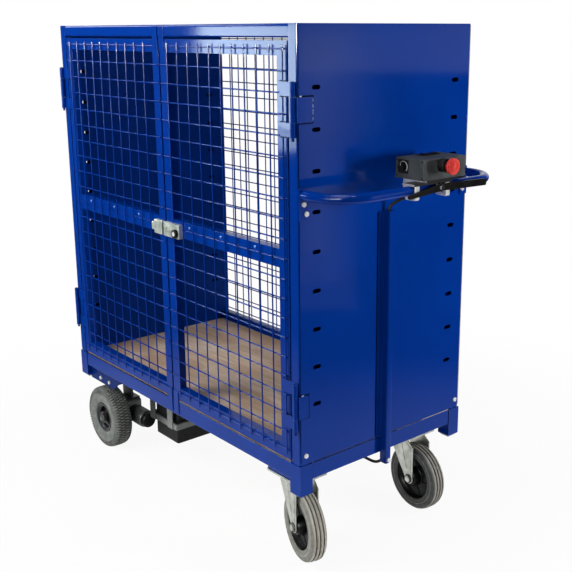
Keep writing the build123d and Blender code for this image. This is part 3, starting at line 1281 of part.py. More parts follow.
nodes["castor_plates"] = group(plates)
nodes["cross_bearers"] = group(bearers + [castor_bearer])


# Castor parts, drawn with the swivel axis on Z and the wheel trailing along +X
def castor_fork():
    crown = rod((0, 0, crown_low), (0, 0, crown_top), FORK_CROWN_RADIUS)
    half = FORK_INSIDE + FORK_LEG
    crown += span(
        -FORK_TOP_LENGTH / 2, FORK_TOP_LENGTH / 2, -half, half, crown_low, crown_top
    )
    rim = rod((0, 0, crown_top), (0, 0, plate_low - SWIVEL_GAP), RACE_RADIUS + SWIVEL_GAP + RACE_RIM)
    rim -= rod((0, 0, crown_top), (0, 0, plate_low), RACE_RADIUS + SWIVEL_GAP)
    fork = crown + rim
    fork -= rod((0, 0, crown_low), (0, 0, crown_top), KINGPIN_RADIUS + KINGPIN_CLEARANCE)
    axle_z = CASTOR_WHEEL_RADIUS
    lead_x = CASTOR_TRAIL + FORK_TIP_RADIUS
    outline = make_face(Polyline(
        (-FORK_TOP_LENGTH / 2, crown_top), (FORK_TOP_LENGTH / 2, crown_top),
        (lead_x, crown_top - FORK_CROWN - FORK_LEAD * FORK_LEG), (lead_x, axle_z),
        (CASTOR_TRAIL, axle_z - FORK_TIP_RADIUS), (CASTOR_TRAIL - FORK_TIP_RADIUS, axle_z),
        (-FORK_TOP_LENGTH / 2, crown_low - FORK_LEAD * FORK_LEG), close=True,
    ))
    outline += Pos(CASTOR_TRAIL, axle_z) * Circle(FORK_TIP_RADIUS)
    outline -= Pos(CASTOR_TRAIL, axle_z) * Circle(AXLE_RADIUS + AXLE_CLEARANCE)
    for sy in SIDES:
        y = FORK_INSIDE if sy < 0 else -FORK_INSIDE - FORK_LEG
        leg = extrude(Plane.XZ.offset(y) * outline, amount=FORK_LEG)
        fork += leg
    return fork


def castor_axle():
    reach = FORK_INSIDE + FORK_LEG
    axle_z = CASTOR_WHEEL_RADIUS
    axle = rod((CASTOR_TRAIL, -reach, axle_z), (CASTOR_TRAIL, reach, axle_z), AXLE_RADIUS)
    axle += hexagon(
        (CASTOR_TRAIL, -reach, axle_z), (CASTOR_TRAIL, -reach - AXLE_HEAD, axle_z), AXLE_HEAD_RADIUS
    )
    axle += hexagon(
        (CASTOR_TRAIL, reach, axle_z), (CASTOR_TRAIL, reach + AXLE_HEAD, axle_z), AXLE_HEAD_RADIUS
    )
    return axle


def wheel_profile(points, x, z):
    """Face to spin about a wheel's axle; points are (offset along the axle, radius)."""
    plane = Plane(origin=(x, 0, z), x_dir=(0, 1, 0), z_dir=(1, 0, 0))
    return plane * make_face(Polyline(*points, close=True))


def castor_centre():
    hub = FORK_INSIDE - CASTOR_HUB_GAP
    bore = AXLE_RADIUS + AXLE_CLEARANCE
    rim_low = CASTOR_TYRE_INNER - CASTOR_RIM_WALL
    rim = CASTOR_RIM_WIDTH / 2
    web = CASTOR_WEB / 2
    face = wheel_profile([
        (-hub, bore), (-hub, CASTOR_HUB_RADIUS), (-web, CASTOR_HUB_RADIUS + CASTOR_RIM_WALL),
        (-web, rim_low - CASTOR_RIM_WALL), (-rim, rim_low), (-rim, CASTOR_TYRE_INNER),
        (rim, CASTOR_TYRE_INNER), (rim, rim_low), (web, rim_low - CASTOR_RIM_WALL),
        (web, CASTOR_HUB_RADIUS + CASTOR_RIM_WALL), (hub, CASTOR_HUB_RADIUS), (hub, bore),
    ], CASTOR_TRAIL, CASTOR_WHEEL_RADIUS)
    return revolve(face, Axis((CASTOR_TRAIL, 0, CASTOR_WHEEL_RADIUS), (0, 1, 0)))


def castor_tyre():
    half = CASTOR_TREAD_WIDTH / 2
    plane = Plane(origin=(CASTOR_TRAIL, 0, CASTOR_WHEEL_RADIUS), x_dir=(0, 1, 0), z_dir=(1, 0, 0))
    face = make_face(Polyline(
        (-half, CASTOR_TYRE_INNER), (-half, CASTOR_WHEEL_RADIUS), (half, CASTOR_WHEEL_RADIUS),
        (half, CASTOR_TYRE_INNER), close=True,
    ))
    face = fillet(face.vertices().group_by(Axis.Y)[-1], CASTOR_TYRE_ROUND)
    return revolve(plane * face, Axis((CASTOR_TRAIL, 0, CASTOR_WHEEL_RADIUS), (0, 1, 0)))


for name, sy, turn in (("front", -1, FRONT_SWIVEL), ("rear", 1, REAR_SWIVEL)):
    place = Pos(CASTOR_X, sy * CASTOR_Y, 0) * Rot(0, 0, turn)
    nodes[name + "_castor_fork"] = place * castor_fork()
    nodes[name + "_castor_axle"] = place * castor_axle()
    nodes[name + "_castor_wheel_centre"] = place * castor_centre()
    nodes[name + "_castor_tyre"] = place * castor_tyre()


# Driven wheels: rim with its shaft, and tyre
def drive_rim(sy):
    half = DRIVE_RIM_WIDTH / 2
    hub = DRIVE_HUB_LENGTH / 2
    web = DRIVE_WEB / 2
    well = DRIVE_RIM_RADIUS - DRIVE_RIM_LIP
    inner = well - DRIVE_RIM_WALL
    plane = Plane(origin=(DRIVE_X, sy * DRIVE_Y, DRIVE_WHEEL_RADIUS), x_dir=(0, 1, 0), z_dir=(1, 0, 0))
    face = make_face(Polyline(
        (-hub, 0), (-hub, DRIVE_HUB_RADIUS), (-web, DRIVE_HUB_RADIUS), (-web, inner),
        (-half, inner), (-half, DRIVE_RIM_RADIUS), (-half + DRIVE_RIM_LIP, DRIVE_RIM_RADIUS),
        (-half + DRIVE_RIM_LIP, well), (half - DRIVE_RIM_LIP, well), (half - DRIVE_RIM_LIP, DRIVE_RIM_RADIUS),
        (half, DRIVE_RIM_RADIUS), (half, inner), (web, inner), (web, DRIVE_HUB_RADIUS),
        (hub, DRIVE_HUB_RADIUS), (hub, 0), close=True,
    ))
    axis = Axis((DRIVE_X, sy * DRIVE_Y, DRIVE_WHEEL_RADIUS), (0, 1, 0))
    rim = revolve(plane * face, axis)
    hub_y = sy * (DRIVE_Y - hub)
    rim += rod((DRIVE_X, sy * shaft_in, DRIVE_WHEEL_RADIUS), (DRIVE_X, hub_y, DRIVE_WHEEL_RADIUS), SHAFT_RADIUS)
    cap_y = sy * (DRIVE_Y + hub)
    rim += rod(
        (DRIVE_X, cap_y, DRIVE_WHEEL_RADIUS), (DRIVE_X, cap_y + sy * DRIVE_CAP, DRIVE_WHEEL_RADIUS),
        DRIVE_CAP_RADIUS,
    )
    return rim


def drive_tyre(sy):
    half = DRIVE_TYRE_WIDTH / 2
    bead = DRIVE_RIM_WIDTH / 2 - DRIVE_RIM_LIP
    well = DRIVE_RIM_RADIUS - DRIVE_RIM_LIP
    plane = Plane(origin=(DRIVE_X, sy * DRIVE_Y, DRIVE_WHEEL_RADIUS), x_dir=(0, 1, 0), z_dir=(1, 0, 0))
    outer = make_face(Polyline(
        (-half, DRIVE_RIM_RADIUS), (-half, DRIVE_WHEEL_RADIUS), (half, DRIVE_WHEEL_RADIUS),
        (half, DRIVE_RIM_RADIUS), close=True,
    ))
    outer = fillet(outer.vertices().group_by(Axis.Y)[-1], TYRE_SHOULDER)
    outer += Pos(0, (well + DRIVE_RIM_RADIUS + TYRE_WALL) / 2) * Rectangle(
        2 * bead, DRIVE_RIM_RADIUS + TYRE_WALL - well
    )
    air = Pos(0, (well + DRIVE_WHEEL_RADIUS - TYRE_WALL) / 2) * Rectangle(
        2 * (bead - TYRE_WALL), DRIVE_WHEEL_RADIUS - TYRE_WALL - well
    )
    air += Pos(0, (DRIVE_RIM_RADIUS + DRIVE_WHEEL_RADIUS) / 2) * Rectangle(
        2 * (half - TYRE_WALL), DRIVE_WHEEL_RADIUS - DRIVE_RIM_RADIUS - 2 * TYRE_WALL
    )
    outer -= air
    return revolve(plane * outer, Axis((DRIVE_X, sy * DRIVE_Y, DRIVE_WHEEL_RADIUS), (0, 1, 0)))


for name, sy in (("front", -1), ("rear", 1)):
    nodes[name + "_drive_rim"] = drive_rim(sy)
    nodes[name + "_drive_tyre"] = drive_tyre(sy)

# Bolt at the foot of the cable channel, small rivets along the door mid rails
channel_face = HALF_L + CHANNEL_DEPTH
bolts.append(hexagon(
    (channel_face, CHANNEL_Y, CHANNEL_BOLT_Z), (channel_face + BOLT_HEAD, CHANNEL_Y, CHANNEL_BOLT_Z),
    BOLT_HEAD_RADIUS,
))
nodes["bolts"] = group(bolts)

# Whole object centred on the floor below its bounding box
box = group(nodes.values()).bounding_box()
SHIFT = Pos(-(box.min.X + box.max.X) / 2, -(box.min.Y + box.max.Y) / 2, -box.min.Z)
os.makedirs("parts", exist_ok=True)
for name, shape in nodes.items():
    export_step(SHIFT * shape, "parts/" + name + ".step")
print(len(nodes), "nodes, size", [round(v, 1) for v in (box.size.X, box.size.Y, box.size.Z)])
print("shift", [round(v, 3) for v in (SHIFT.position.X, SHIFT.position.Y, SHIFT.position.Z)])
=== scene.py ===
import json
from math import cos, pi, radians, sin

import bmesh
import bpy
from mathutils import Euler, Matrix, Vector


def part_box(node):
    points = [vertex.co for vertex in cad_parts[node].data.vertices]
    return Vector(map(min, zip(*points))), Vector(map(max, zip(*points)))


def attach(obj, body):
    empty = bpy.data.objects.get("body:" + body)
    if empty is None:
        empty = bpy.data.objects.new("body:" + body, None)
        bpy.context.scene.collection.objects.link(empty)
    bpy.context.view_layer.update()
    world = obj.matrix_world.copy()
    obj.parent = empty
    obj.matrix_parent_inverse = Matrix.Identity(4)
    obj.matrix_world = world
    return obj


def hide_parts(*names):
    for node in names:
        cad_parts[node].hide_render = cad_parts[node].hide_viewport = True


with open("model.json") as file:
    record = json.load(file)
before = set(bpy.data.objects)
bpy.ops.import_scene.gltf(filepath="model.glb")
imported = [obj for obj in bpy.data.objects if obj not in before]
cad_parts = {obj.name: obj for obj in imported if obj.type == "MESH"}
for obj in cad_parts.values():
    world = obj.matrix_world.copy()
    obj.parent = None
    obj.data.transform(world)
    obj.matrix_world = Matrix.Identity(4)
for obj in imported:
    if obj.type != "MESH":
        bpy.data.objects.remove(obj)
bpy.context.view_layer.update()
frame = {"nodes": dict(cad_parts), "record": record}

# Sizes are in millimetres, measured from the middle of the deck and from the floor
MM = 0.001
deck_low, deck_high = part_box("deck_board")
MIDDLE = (deck_low + deck_high) / 2
SIDES = (-1, 1)
FRONT_REAR = ((-1, "front"), (1, "rear"))
FRAME = "trolley_frame"


def spot(x, y, z):
    """A place on the trolley, in the frame that all pieces share."""
    return Vector((MIDDLE.x + x * MM, MIDDLE.y + y * MM, z * MM))


# Node trees
def socket_named(sockets, name):
    for socket in sockets:
        if socket.identifier == name:
            return socket
    return next(socket for socket in sockets if socket.name == name)


class Nodes:
    """A node tree that is filled by a node's type, its settings and the values or links of its sockets."""

    def __init__(self, tree):
        self.tree = tree

    def add(self, kind, settings=None, values=None):
        node = self.tree.nodes.new(kind)
        for name, setting in (settings or {}).items():
            setattr(node, name, setting)
        for name, value in (values or {}).items():
            self.feed(socket_named(node.inputs, name), value)
        return node

    def feed(self, socket, value):
        if isinstance(value, Value):
            value = value.socket
        if isinstance(value, bpy.types.NodeSocket):
            self.tree.links.new(value, socket)
        else:
            socket.default_value = value


def both_ways(operation):
    """An operator of Value and its reflected form."""
    return (lambda self, other: self.sum(operation, self, other),
            lambda self, other: self.sum(operation, other, self))


class Value:
    """A number that changes over a surface; each sum on it adds a Math node."""

    def __init__(self, nodes, socket):
        self.nodes, self.socket = nodes, socket

    def sum(self, operation, first, second=0.0):
        node = self.nodes.add(
            "ShaderNodeMath", {"operation": operation}, {"Value": first, "Value_001": second})
        return Value(self.nodes, node.outputs[0])

    __add__, __radd__ = both_ways("ADD")
    __sub__, __rsub__ = both_ways("SUBTRACT")
    __mul__, __rmul__ = both_ways("MULTIPLY")
    __truediv__, __rtruediv__ = both_ways("DIVIDE")
    __mod__, __rmod__ = both_ways("FLOORED_MODULO")

    def __abs__(self):
        return self.sum("ABSOLUTE", self)

    def rise(self, low, high):
        """0 below low, 1 above high and a soft step between them."""
        node = self.nodes.add(
            "ShaderNodeMapRange", {"interpolation_type": "SMOOTHSTEP"},
            {"Value": self, "From Min": low, "From Max": high})
        return Value(self.nodes, node.outputs[0])


def shade(red, green, blue):
    """A colour as it is seen, 0 to 255, as the linear values that a shader takes."""
    tones = [tone / 255 for tone in (red, green, blue)]
    return (*[t / 12.92 if t <= 0.04045 else ((t + 0.055) / 1.055) ** 2.4 for t in tones], 1.0)


class Finish(Nodes):
    """A finish of the trolley: one shader with plain numbers, and patterns laid over it."""

    def __init__(self, name, metal=0.0, shine=0.5):
        self.material = bpy.data.materials.new(name)
        self.material.use_nodes = True
        super().__init__(self.material.node_tree)
        self.tree.nodes.clear()
        self.shader = self.add(
            "ShaderNodeBsdfPrincipled", {}, {"Metallic": metal, "Specular IOR Level": shine})
        self.add("ShaderNodeOutputMaterial", {}, {"Surface": self.shader.outputs[0]})
        self.place = self.add("ShaderNodeTexCoord").outputs["Object"]

    def noise(self, scale, detail=2.0, stretch=(1, 1, 1)):
        """A cloudy pattern about 0.5; scale counts its clouds in a metre."""
        place = self.add("ShaderNodeMapping", {}, {"Vector": self.place, "Scale": stretch})
        node = self.add(
            "ShaderNodeTexNoise", {}, {"Vector": place.outputs[0], "Scale": scale, "Detail": detail})
        return Value(self, node.outputs[0])

    def part(self, vector, axis):
        node = self.add("ShaderNodeSeparateXYZ", {}, {"Vector": vector})
        return Value(self, node.outputs[axis])

    def along(self, axis):
        return self.part(self.place, axis)

    def facing(self, axis):
        return self.part(self.add("ShaderNodeNewGeometry").outputs["Normal"], axis)

    def marked(self, name):
        """A number that the mesh carries at its points, such as edge or tint."""
        return Value(self, self.add("ShaderNodeAttribute", {"attribute_name": name}).outputs["Fac"])

    def mix(self, factor, first, second):
        """Between two colours, each a socket or a colour as it is seen."""
        first, second = [shade(*tone) if isinstance(tone, tuple) else tone for tone in (first, second)]
        node = self.add("ShaderNodeMix", {"data_type": "RGBA"}, {
            "Factor_Float": factor, "A_Color": first, "B_Color": second,
        })
        return socket_named(node.outputs, "Result_Color")

    def colour(self, factor, first, second):
        self.feed(self.shader.inputs["Base Color"], self.mix(factor, first, second))

    def over(self, factor, colour):
        """Lays a colour over the one that is there."""
        there = self.shader.inputs["Base Color"].links[0].from_socket
        self.colour(factor, there, colour)

    def rough(self, value):
        self.feed(self.shader.inputs["Roughness"], value)

    def bump(self, height, depth):
        """Raises the surface by a height pattern, depth in millimetres, on top of what is there."""
        values = {"Distance": depth * MM, "Height": height}
        normal = self.shader.inputs["Normal"]
        if normal.is_linked:
            values["Normal"] = normal.links[0].from_socket
        self.feed(normal, self.add("ShaderNodeBump", {}, values).outputs[0])


# Finishes
def sprayed_paint(name, light, dark, bare, shine, roughness, wave=0.5):
    """Powder coat: soft cloudiness, orange peel, sheet that is not quite flat, rubbed edges, and a painted
    highlight along every rounded edge.
    """
    finish = Finish(name, shine=shine)
    cloud = finish.noise(2.6, 3)
    peel = finish.noise(420, 1)
    scuff = finish.noise(60, 5).rise(0.66, 0.74) * finish.noise(7, 2).rise(0.55, 0.7)
    rubbed = finish.marked("edge") * finish.noise(170, 4).rise(0.4, 0.62)
    tone = finish.mix(cloud.rise(0.3, 0.7), dark, light)
    # Painted highlight: every rounded edge is laid 30% towards the bare colour, as the light that it catches
    tone = finish.mix(finish.marked("edge") * 0.3, tone, bare)
    finish.colour(rubbed, tone, bare)
    finish.rough(roughness + 0.12 * (cloud - 0.5) + 0.1 * scuff + 0.2 * rubbed)
    finish.bump(finish.noise(4.5, 1), wave)
    finish.bump(peel, 0.012)
    return finish


def plated(name, light, dark, roughness, streak, metal=1):
    """Zinc plate: blotchy bright metal with fine drawn lines along one way and a dulled film."""
    finish = Finish(name, metal=metal)
    blotch = finish.noise(38, 4)
    drawn = finish.noise(900, 2, streak)
    film = finish.noise(9, 3)
    tone = finish.mix(blotch.rise(0.3, 0.72), dark, light)
    finish.colour(finish.marked("edge") * 0.5, tone, light)
    finish.rough(roughness + 0.18 * (drawn - 0.5) + 0.2 * (film - 0.5))
    finish.bump(drawn, 0.02)
    return finish


def moulded(name, light, dark, roughness, grain):
    """Moulded plastic: a fine spark grain, duller where it is handled, and a painted highlight that makes it
    paler along its edges.
    """
    finish = Finish(name, shine=0.12)
    handled = finish.noise(24, 4)
    tone = finish.mix(handled.rise(0.3, 0.75), dark, light)
    # Painted highlight: the edges are laid towards a paler grey
    finish.colour(finish.marked("edge") * 0.35, tone, (92, 92, 94))
    finish.rough(roughness + 0.22 * (handled - 0.5))
    finish.bump(finish.noise(1500, 2), grain)
    return finish


def rubber(name, light, dark, dirt_and_shade, roughness, scrubbed):
    """Tyre rubber: dusty, mottled, with dirt in its grooves, painted shade between the driven tyre's blocks,
    and scrubbed paler where it runs on the floor.
    """
    finish = Finish(name, shine=0.25)
    mottle = finish.noise(55, 5)
    dusty = finish.noise(14, 3)
    tone = finish.mix(mottle.rise(0.28, 0.72), dark, light)
    worn = (0 - finish.marked("tint")) * (0.7 + 0.6 * mottle)
    tone = finish.mix(worn.rise(0, 1), tone, scrubbed)
    dirt_and_shade_share = finish.marked("tint") * (0.55 + 0.6 * dusty)
    finish.colour(dirt_and_shade_share.rise(0, 1), tone, dirt_and_shade)
    finish.rough(roughness + 0.2 * (dusty - 0.5))
    finish.bump(finish.noise(700, 3), 0.06)
    return finish


LAYERS_IN_METRE = 320


def plywood():
    """Birch plywood: grain, paler and darker strips of veneer, scuffs, layers on its edges."""
    finish = Finish("birch_plywood", shine=0.25)
    broad = finish.noise(2.4, 3, (1, 4, 1))
    grain = finish.noise(14, 5, (0.5, 7, 1))
    pores = finish.noise(120, 2, (0.12, 3, 1))
    worn = finish.noise(9, 4).rise(0.5, 0.72)
    rosy = finish.noise(5, 3).rise(0.48, 0.68)
    scuffed = finish.noise(4, 4, (1, 2.2, 1)).rise(0.66, 0.76)
    face = finish.mix(grain.rise(0.3, 0.72), (204, 176, 145), (230, 208, 180))
    for share, stain in (
        (broad.rise(0.38, 0.62) * 0.75, (178, 144, 110)), (pores.rise(0.6, 0.8) * 0.45, (144, 112, 84)),
        (rosy * 0.55, (206, 164, 136)), (worn * 0.5, (226, 212, 192)), (scuffed * 0.65, (132, 104, 82)),
    ):
        face = finish.mix(share, face, stain)
    layer = (finish.along("Z") * LAYERS_IN_METRE + 0.4 * finish.noise(40, 2)) % 1
    edge = finish.mix(layer.rise(0.42, 0.58), (140, 126, 110), (178, 166, 148))
    side = 1 - abs(finish.facing("Z")).rise(0.3, 0.6)
    finish.colour(side, face, edge)
    finish.rough(0.62 + 0.2 * (grain - 0.5))
    finish.bump(pores, 0.12)
    finish.bump(grain, 0.2)
    return finish


# Along X, where the painted shade on the button's side fades out
BUTTON_SHADE_EDGE = (780, 783)


def mushroom_red():
    """Bright thumbed head; its side behind is painted dark red as shade."""
    finish = Finish("red_stop_button", shine=0.5)
    thumbed = finish.noise(70, 3)
    head = finish.mix(thumbed.rise(0.3, 0.7), (214, 48, 42), (234, 76, 66))
    # Painted shade: the side behind the head is dark red
    behind = 1 - finish.along("X").rise(*[spot(x, 0, 0).x for x in BUTTON_SHADE_EDGE])
    finish.colour(behind, head, (92, 10, 14))
    finish.rough(0.3 + 0.2 * (thumbed - 0.5))
    finish.bump(finish.noise(1200, 1), 0.01)
    return finish


def cast_metal():
    """Sand cast gearbox with an oily film."""
    finish = Finish("cast_gearbox_metal", metal=0.35, shine=0.4)
    sand = finish.noise(520, 3)
    oily = finish.noise(20, 4)
    finish.colour(oily.rise(0.35, 0.7), (138, 150, 142), (184, 193, 184))
    finish.rough(0.52 + 0.25 * (oily - 0.5))
    finish.bump(sand, 0.12)
    return finish


PLATE_FACE, BEZEL_FACE = -24.4, 1104.6


def control_plastic():
    """Grained grey box; its dial plate on the left and its switch bezel on the top are black."""
    finish = moulded("control_box_plastic", (86, 90, 91), (65, 69, 70), 0.5, 0.05)
    face = spot(0, PLATE_FACE, BEZEL_FACE)
    soft = 0.2 * MM
    plate = 1 - finish.along("Y").rise(face.y - soft, face.y + soft)
    bezel = finish.along("Z").rise(face.z - soft, face.z + soft)
    finish.over(plate + bezel, (13, 14, 15))
    return finish


def bracket_metal():
    """Black bracket with bare plate on the sides that face the doors."""
    finish = plated("bracket_metal", (206, 208, 210), (168, 170, 172), 0.4, (1, 0.04, 1))
    bare = (0 - finish.facing("Y")).rise(0.4, 0.7)
    finish.over(1 - bare, (20, 21, 23))
    finish.feed(finish.shader.inputs["Metallic"], bare * 0.5)
    return finish


# The bare colours serve both as chipped paint and as the painted edge highlight
CHIPPED_AND_HIGHLIGHT, CHIPPED_AND_HIGHLIGHT_DULL = (112, 146, 206), (96, 128, 190)
blue_coat = sprayed_paint("blue_powder_coat", (0, 55, 150), (0, 49, 139), CHIPPED_AND_HIGHLIGHT, 0.12, 0.09)
wire_coat = sprayed_paint("blue_wire_coat", (0, 55, 152), (0, 48, 140), CHIPPED_AND_HIGHLIGHT, 0.2, 0.12, wave=0)
handle_coat = sprayed_paint("blue_handle_coat", (0, 52, 146), (0, 46, 134), CHIPPED_AND_HIGHLIGHT, 0.11, 0.08, wave=0)
# Painted highlight: the rivet heads are a much paler blue than the paint, as their glint
rivet_highlight_coat = sprayed_paint(
    "blue_rivet_coat", (96, 140, 226), (70, 116, 206), (160, 186, 240), 0.5, 0.16, wave=0)
# Painted shade: a near-black blue for the dark lines laid in gaps and behind slots
painted_shade = sprayed_paint("dark_seam", (4, 10, 30), (2, 6, 20), (8, 16, 40), 0.02, 0.6, wave=0)
# Painted shade: a darker copy of the blue for the end liners inside the cage
shaded_liner_coat = sprayed_paint("blue_liner_coat", (0, 45, 126), (0, 39, 114), CHIPPED_AND_HIGHLIGHT_DULL, 0.06, 0.3)
# Painted shade: a darker copy of the blue, for the drive brackets set back under the rail and for the hinge
# pins
shaded_blue_coat = sprayed_paint("blue_bracket_coat", (0, 40, 114), (0, 34, 102), CHIPPED_AND_HIGHLIGHT_DULL, 0.05, 0.3)
grey_coat = sprayed_paint("grey_cradle_paint", (160, 163, 160), (128, 131, 129), (92, 86, 78), 0.35, 0.42)
# The cradle is painted darker towards the motors
near_motors = 1 - grey_coat.along("X").rise(spot(-300, 0, 0).x, spot(-190, 0, 0).x)
grey_coat.over(near_motors * 0.85, (44, 45, 46))
black_coat = sprayed_paint("black_motor_paint", (40, 42, 44), (24, 25, 27), (96, 96, 94), 0.35, 0.4)
motor_coat = sprayed_paint("grey_motor_paint", (92, 94, 93), (62, 64, 64), (130, 130, 126), 0.4, 0.36)
rim_grey = sprayed_paint("rim_grey_paint", (60, 62, 64), (44, 46, 48), (110, 110, 108), 0.3, 0.4)
zinc = plated("bright_zinc", (200, 202, 194), (160, 163, 155), 0.38, (1, 1, 0.04))
bolt_zinc = plated("bolt_zinc", (240, 242, 243), (206, 209, 212), 0.34, (1, 1, 1), 0.35)
clamp_zinc = plated("clamp_zinc", (244, 244, 240), (216, 217, 214), 0.36, (1, 0.04, 1), 0.35)
bracket_paint = bracket_metal()
latch_zinc = plated("latch_zinc", (226, 230, 222), (170, 176, 168), 0.34, (0.05, 1, 1), 0.55)
pits = latch_zinc.noise(120, 3).rise(0.62, 0.7)
latch_zinc.over(pits * 0.7, (72, 78, 70))
bright_key = plated("polished_key", (246, 246, 244), (228, 228, 226), 0.2, (1, 1, 1), 0.3)
# Painted highlight: the hinge welds are near white, as their glints
weld_glint_metal = plated("bright_weld", (222, 228, 240), (150, 162, 194), 0.3, (1, 1, 0.3), 0.5)
box_plastic = control_plastic()
black_plastic = moulded("black_moulded_plastic", (24, 24, 25), (11, 11, 12), 0.42, 0.03)
wheel_plastic = moulded("castor_centre_plastic", (26, 27, 28), (11, 12, 13), 0.36, 0.04)
case_plastic = moulded("battery_case_plastic", (34, 35, 36), (18, 19, 20), 0.48, 0.08)
cell_plastic = moulded("battery_block_plastic", (126, 128, 130), (98, 100, 102), 0.5, 0.05)
cable_sheath = moulded("cable_sheath", (28, 28, 29), (14, 14, 15), 0.46, 0.05)
white_print = moulded("white_dial_print", (236, 236, 232), (214, 214, 210), 0.5, 0.01)
drive_rubber = rubber(
    "drive_tyre_rubber", (136, 139, 134), (108, 112, 108), (34, 32, 28), 0.72, (150, 152, 148))
near_rubber = rubber(
    "grey_castor_rubber", (140, 141, 132), (118, 119, 112), (122, 108, 82), 0.55, (196, 190, 178))
# Painted shade: the rear castor's rubber is a darker copy of the front castor's
shaded_castor_rubber = rubber(
    "dark_castor_rubber", (106, 109, 107), (80, 82, 80), (74, 68, 56), 0.55, (178, 172, 162))
deck_wood = plywood()
stop_red = mushroom_red()
gearbox_cast = cast_metal()


# Pieces
def placed(name, data):
    """A new object in the scene, with its data under the same name."""
    data.name = name
    piece = bpy.data.objects.new(name, data)
    bpy.context.scene.collection.objects.link(piece)
    return piece


def finished(name, mesh, body, finish, replaces=(), crease=40):
    """A mesh that is in its place, as a piece of the trolley on one body."""
    mesh.materials.clear()
    mesh.materials.append(finish.material)
    mesh.shade_smooth()
    mesh.set_sharp_from_angle(angle=radians(crease))
    piece = placed(name, mesh)
    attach(piece, body)
    if replaces:
        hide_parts(*replaces)


def as_mesh(bm):
    mesh = bpy.data.meshes.new("shape")
    bm.to_mesh(mesh)
    bm.free()
    return mesh


def settled(piece):
    """The plain mesh that a scratch object's modifiers give; the scratch object goes."""
    depsgraph = bpy.context.evaluated_depsgraph_get()
    mesh = bpy.data.meshes.new_from_object(
        piece.evaluated_get(depsgraph), preserve_all_data_layers=True, depsgraph=depsgraph)
    bpy.data.objects.remove(piece)
    return mesh


def round_edges(bm, width, steps=2, least=32):
    """Rounds the sharp edges and marks the crest of each, where paint rubs off and where the finishes paint a
    highlight.
    """
    layer = bm.verts.layers.float.new("edge")
    sharp = [e for e in bm.edges if e.is_manifold and e.calc_face_angle(0.0) > radians(least)]
    made = bmesh.ops.bevel(
        bm, geom=sharp, offset=width * MM, offset_type="OFFSET", segments=steps, profile=0.5,
        affect="EDGES", clamp_overlap=True)
    rounded = set(made["faces"])
    for vert in bm.verts:
        if vert.link_faces and all(face in rounded for face in vert.link_faces):
            vert[layer] = 1.0


# Angles in degrees: edges below the first are shaded soft, faces within the second are one flat face
SOFT_UNDER, FLAT_WITHIN = 58, 0.6
FLAT_WEIGHT = 80
MERGE = 0.003 * MM


def weighted(mesh):
    """Keeps the flat faces flat in the light, with the rounding only on the edges."""
    mesh.shade_smooth()
    mesh.set_sharp_from_angle(angle=radians(SOFT_UNDER))
    piece = placed("scratch", mesh)
    modifier = piece.modifiers.new("flat_faces", "WEIGHTED_NORMAL")
    modifier.keep_sharp = True
    modifier.weight = FLAT_WEIGHT
    return settled(piece)


def softened(node, width, finish, body):
    """A solid of the frame with its sharp edges rounded, in place of the bare one."""
    bm = bmesh.new()
    bm.from_mesh(frame["nodes"][node].data)
    for layer in list(bm.loops.layers.float_vector.values()):
        bm.loops.layers.float_vector.remove(layer)
    bmesh.ops.remove_doubles(bm, verts=bm.verts, dist=MERGE)
    bmesh.ops.dissolve_limit(
        bm, angle_limit=radians(FLAT_WITHIN), use_dissolve_boundaries=False,
        verts=bm.verts, edges=bm.edges)
    round_edges(bm, width)
    mesh = as_mesh(bm)
    if "custom_normal" in mesh.attributes:
        mesh.attributes.remove(mesh.attributes["custom_normal"])
    mesh = weighted(mesh)
    mesh.materials.clear()
    mesh.materials.append(finish.material)
    piece = placed(node + "_rounded", mesh)
    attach(piece, body)
    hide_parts(node)


def block(low, high, width):
    """A box between two corners with rounded edges."""
    bm = bmesh.new()
    size = Vector(high) - Vector(low)
    middle = (Vector(high) + Vector(low)) / 2
    bmesh.ops.create_cube(bm, size=1.0)
    bmesh.ops.scale(bm, vec=size * MM, verts=bm.verts)
    bmesh.ops.translate(bm, vec=middle * MM, verts=bm.verts)
    round_edges(bm, width, 1)
    return bm


def skin(bm, here, following):
    """Faces between two rings of points."""
    for i in range(len(here)):
        j = (i + 1) % len(here)
        bm.faces.new((here[i], here[j], following[j], following[i]))


def slab(bm, first, last):
    """A closed shape between two faces."""
    bm.faces.new(first)
    bm.faces.new(last)
    skin(bm, first, last)
    bmesh.ops.recalc_face_normals(bm, faces=bm.faces)


def turned(profile, sides=96):
    """A closed ring turned about the Y axis from points (offset along the axle, radius, tint)."""
    bm = bmesh.new()
    tint = bm.verts.layers.float.new("tint")
    rings = []
    for step in range(sides):
        angle = 2 * pi * step / sides
        ring = []
        for offset, radius, dirt_and_shade in profile:
            vert = bm.verts.new(Vector((radius * sin(angle), offset, radius * cos(angle))) * MM)
            vert[tint] = dirt_and_shade
            ring.append(vert)
        rings.append(ring)
    for step in range(sides):
        skin(bm, rings[step], rings[(step + 1) % sides])
    bmesh.ops.recalc_face_normals(bm, faces=bm.faces)
    return bm


def clean(points, side=1):
    """Points of a profile (offset along the axle, radius) on one side, with no tint on them."""
    return [(side * offset, radius, 0.0) for offset, radius in points]


def both_halves(half):
    """A whole profile from its right half."""
    return half + [(-offset, radius, dirt_and_shade) for offset, radius, dirt_and_shade in reversed(half) if offset > 0]


def prism(section, side, thick, tint=0.0, taper=1.0, width=0.0):
    """A slab along X from a section (offset, radius) on one side; taper narrows its outer end."""
    bm = bmesh.new()
    layer = bm.verts.layers.float.new("tint")
    lowest = min(radius for _, radius in section)
    highest = max(radius for _, radius in section)
    faces = []
    for end in SIDES:
        verts = []
        for offset, radius in section:
            share = (radius - lowest) / (highest - lowest)
            lean = 1 + (taper - 1) * share
            vert = bm.verts.new(Vector((end * thick / 2 * lean, side * offset, radius)) * MM)
            # The tint darkens the block towards its root, as painted shade between the blocks
            vert[layer] = tint * (1 - share)
            verts.append(vert)
        faces.append(verts)
    slab(bm, *faces)
    if width:
        round_edges(bm, width, 1)
    return bm


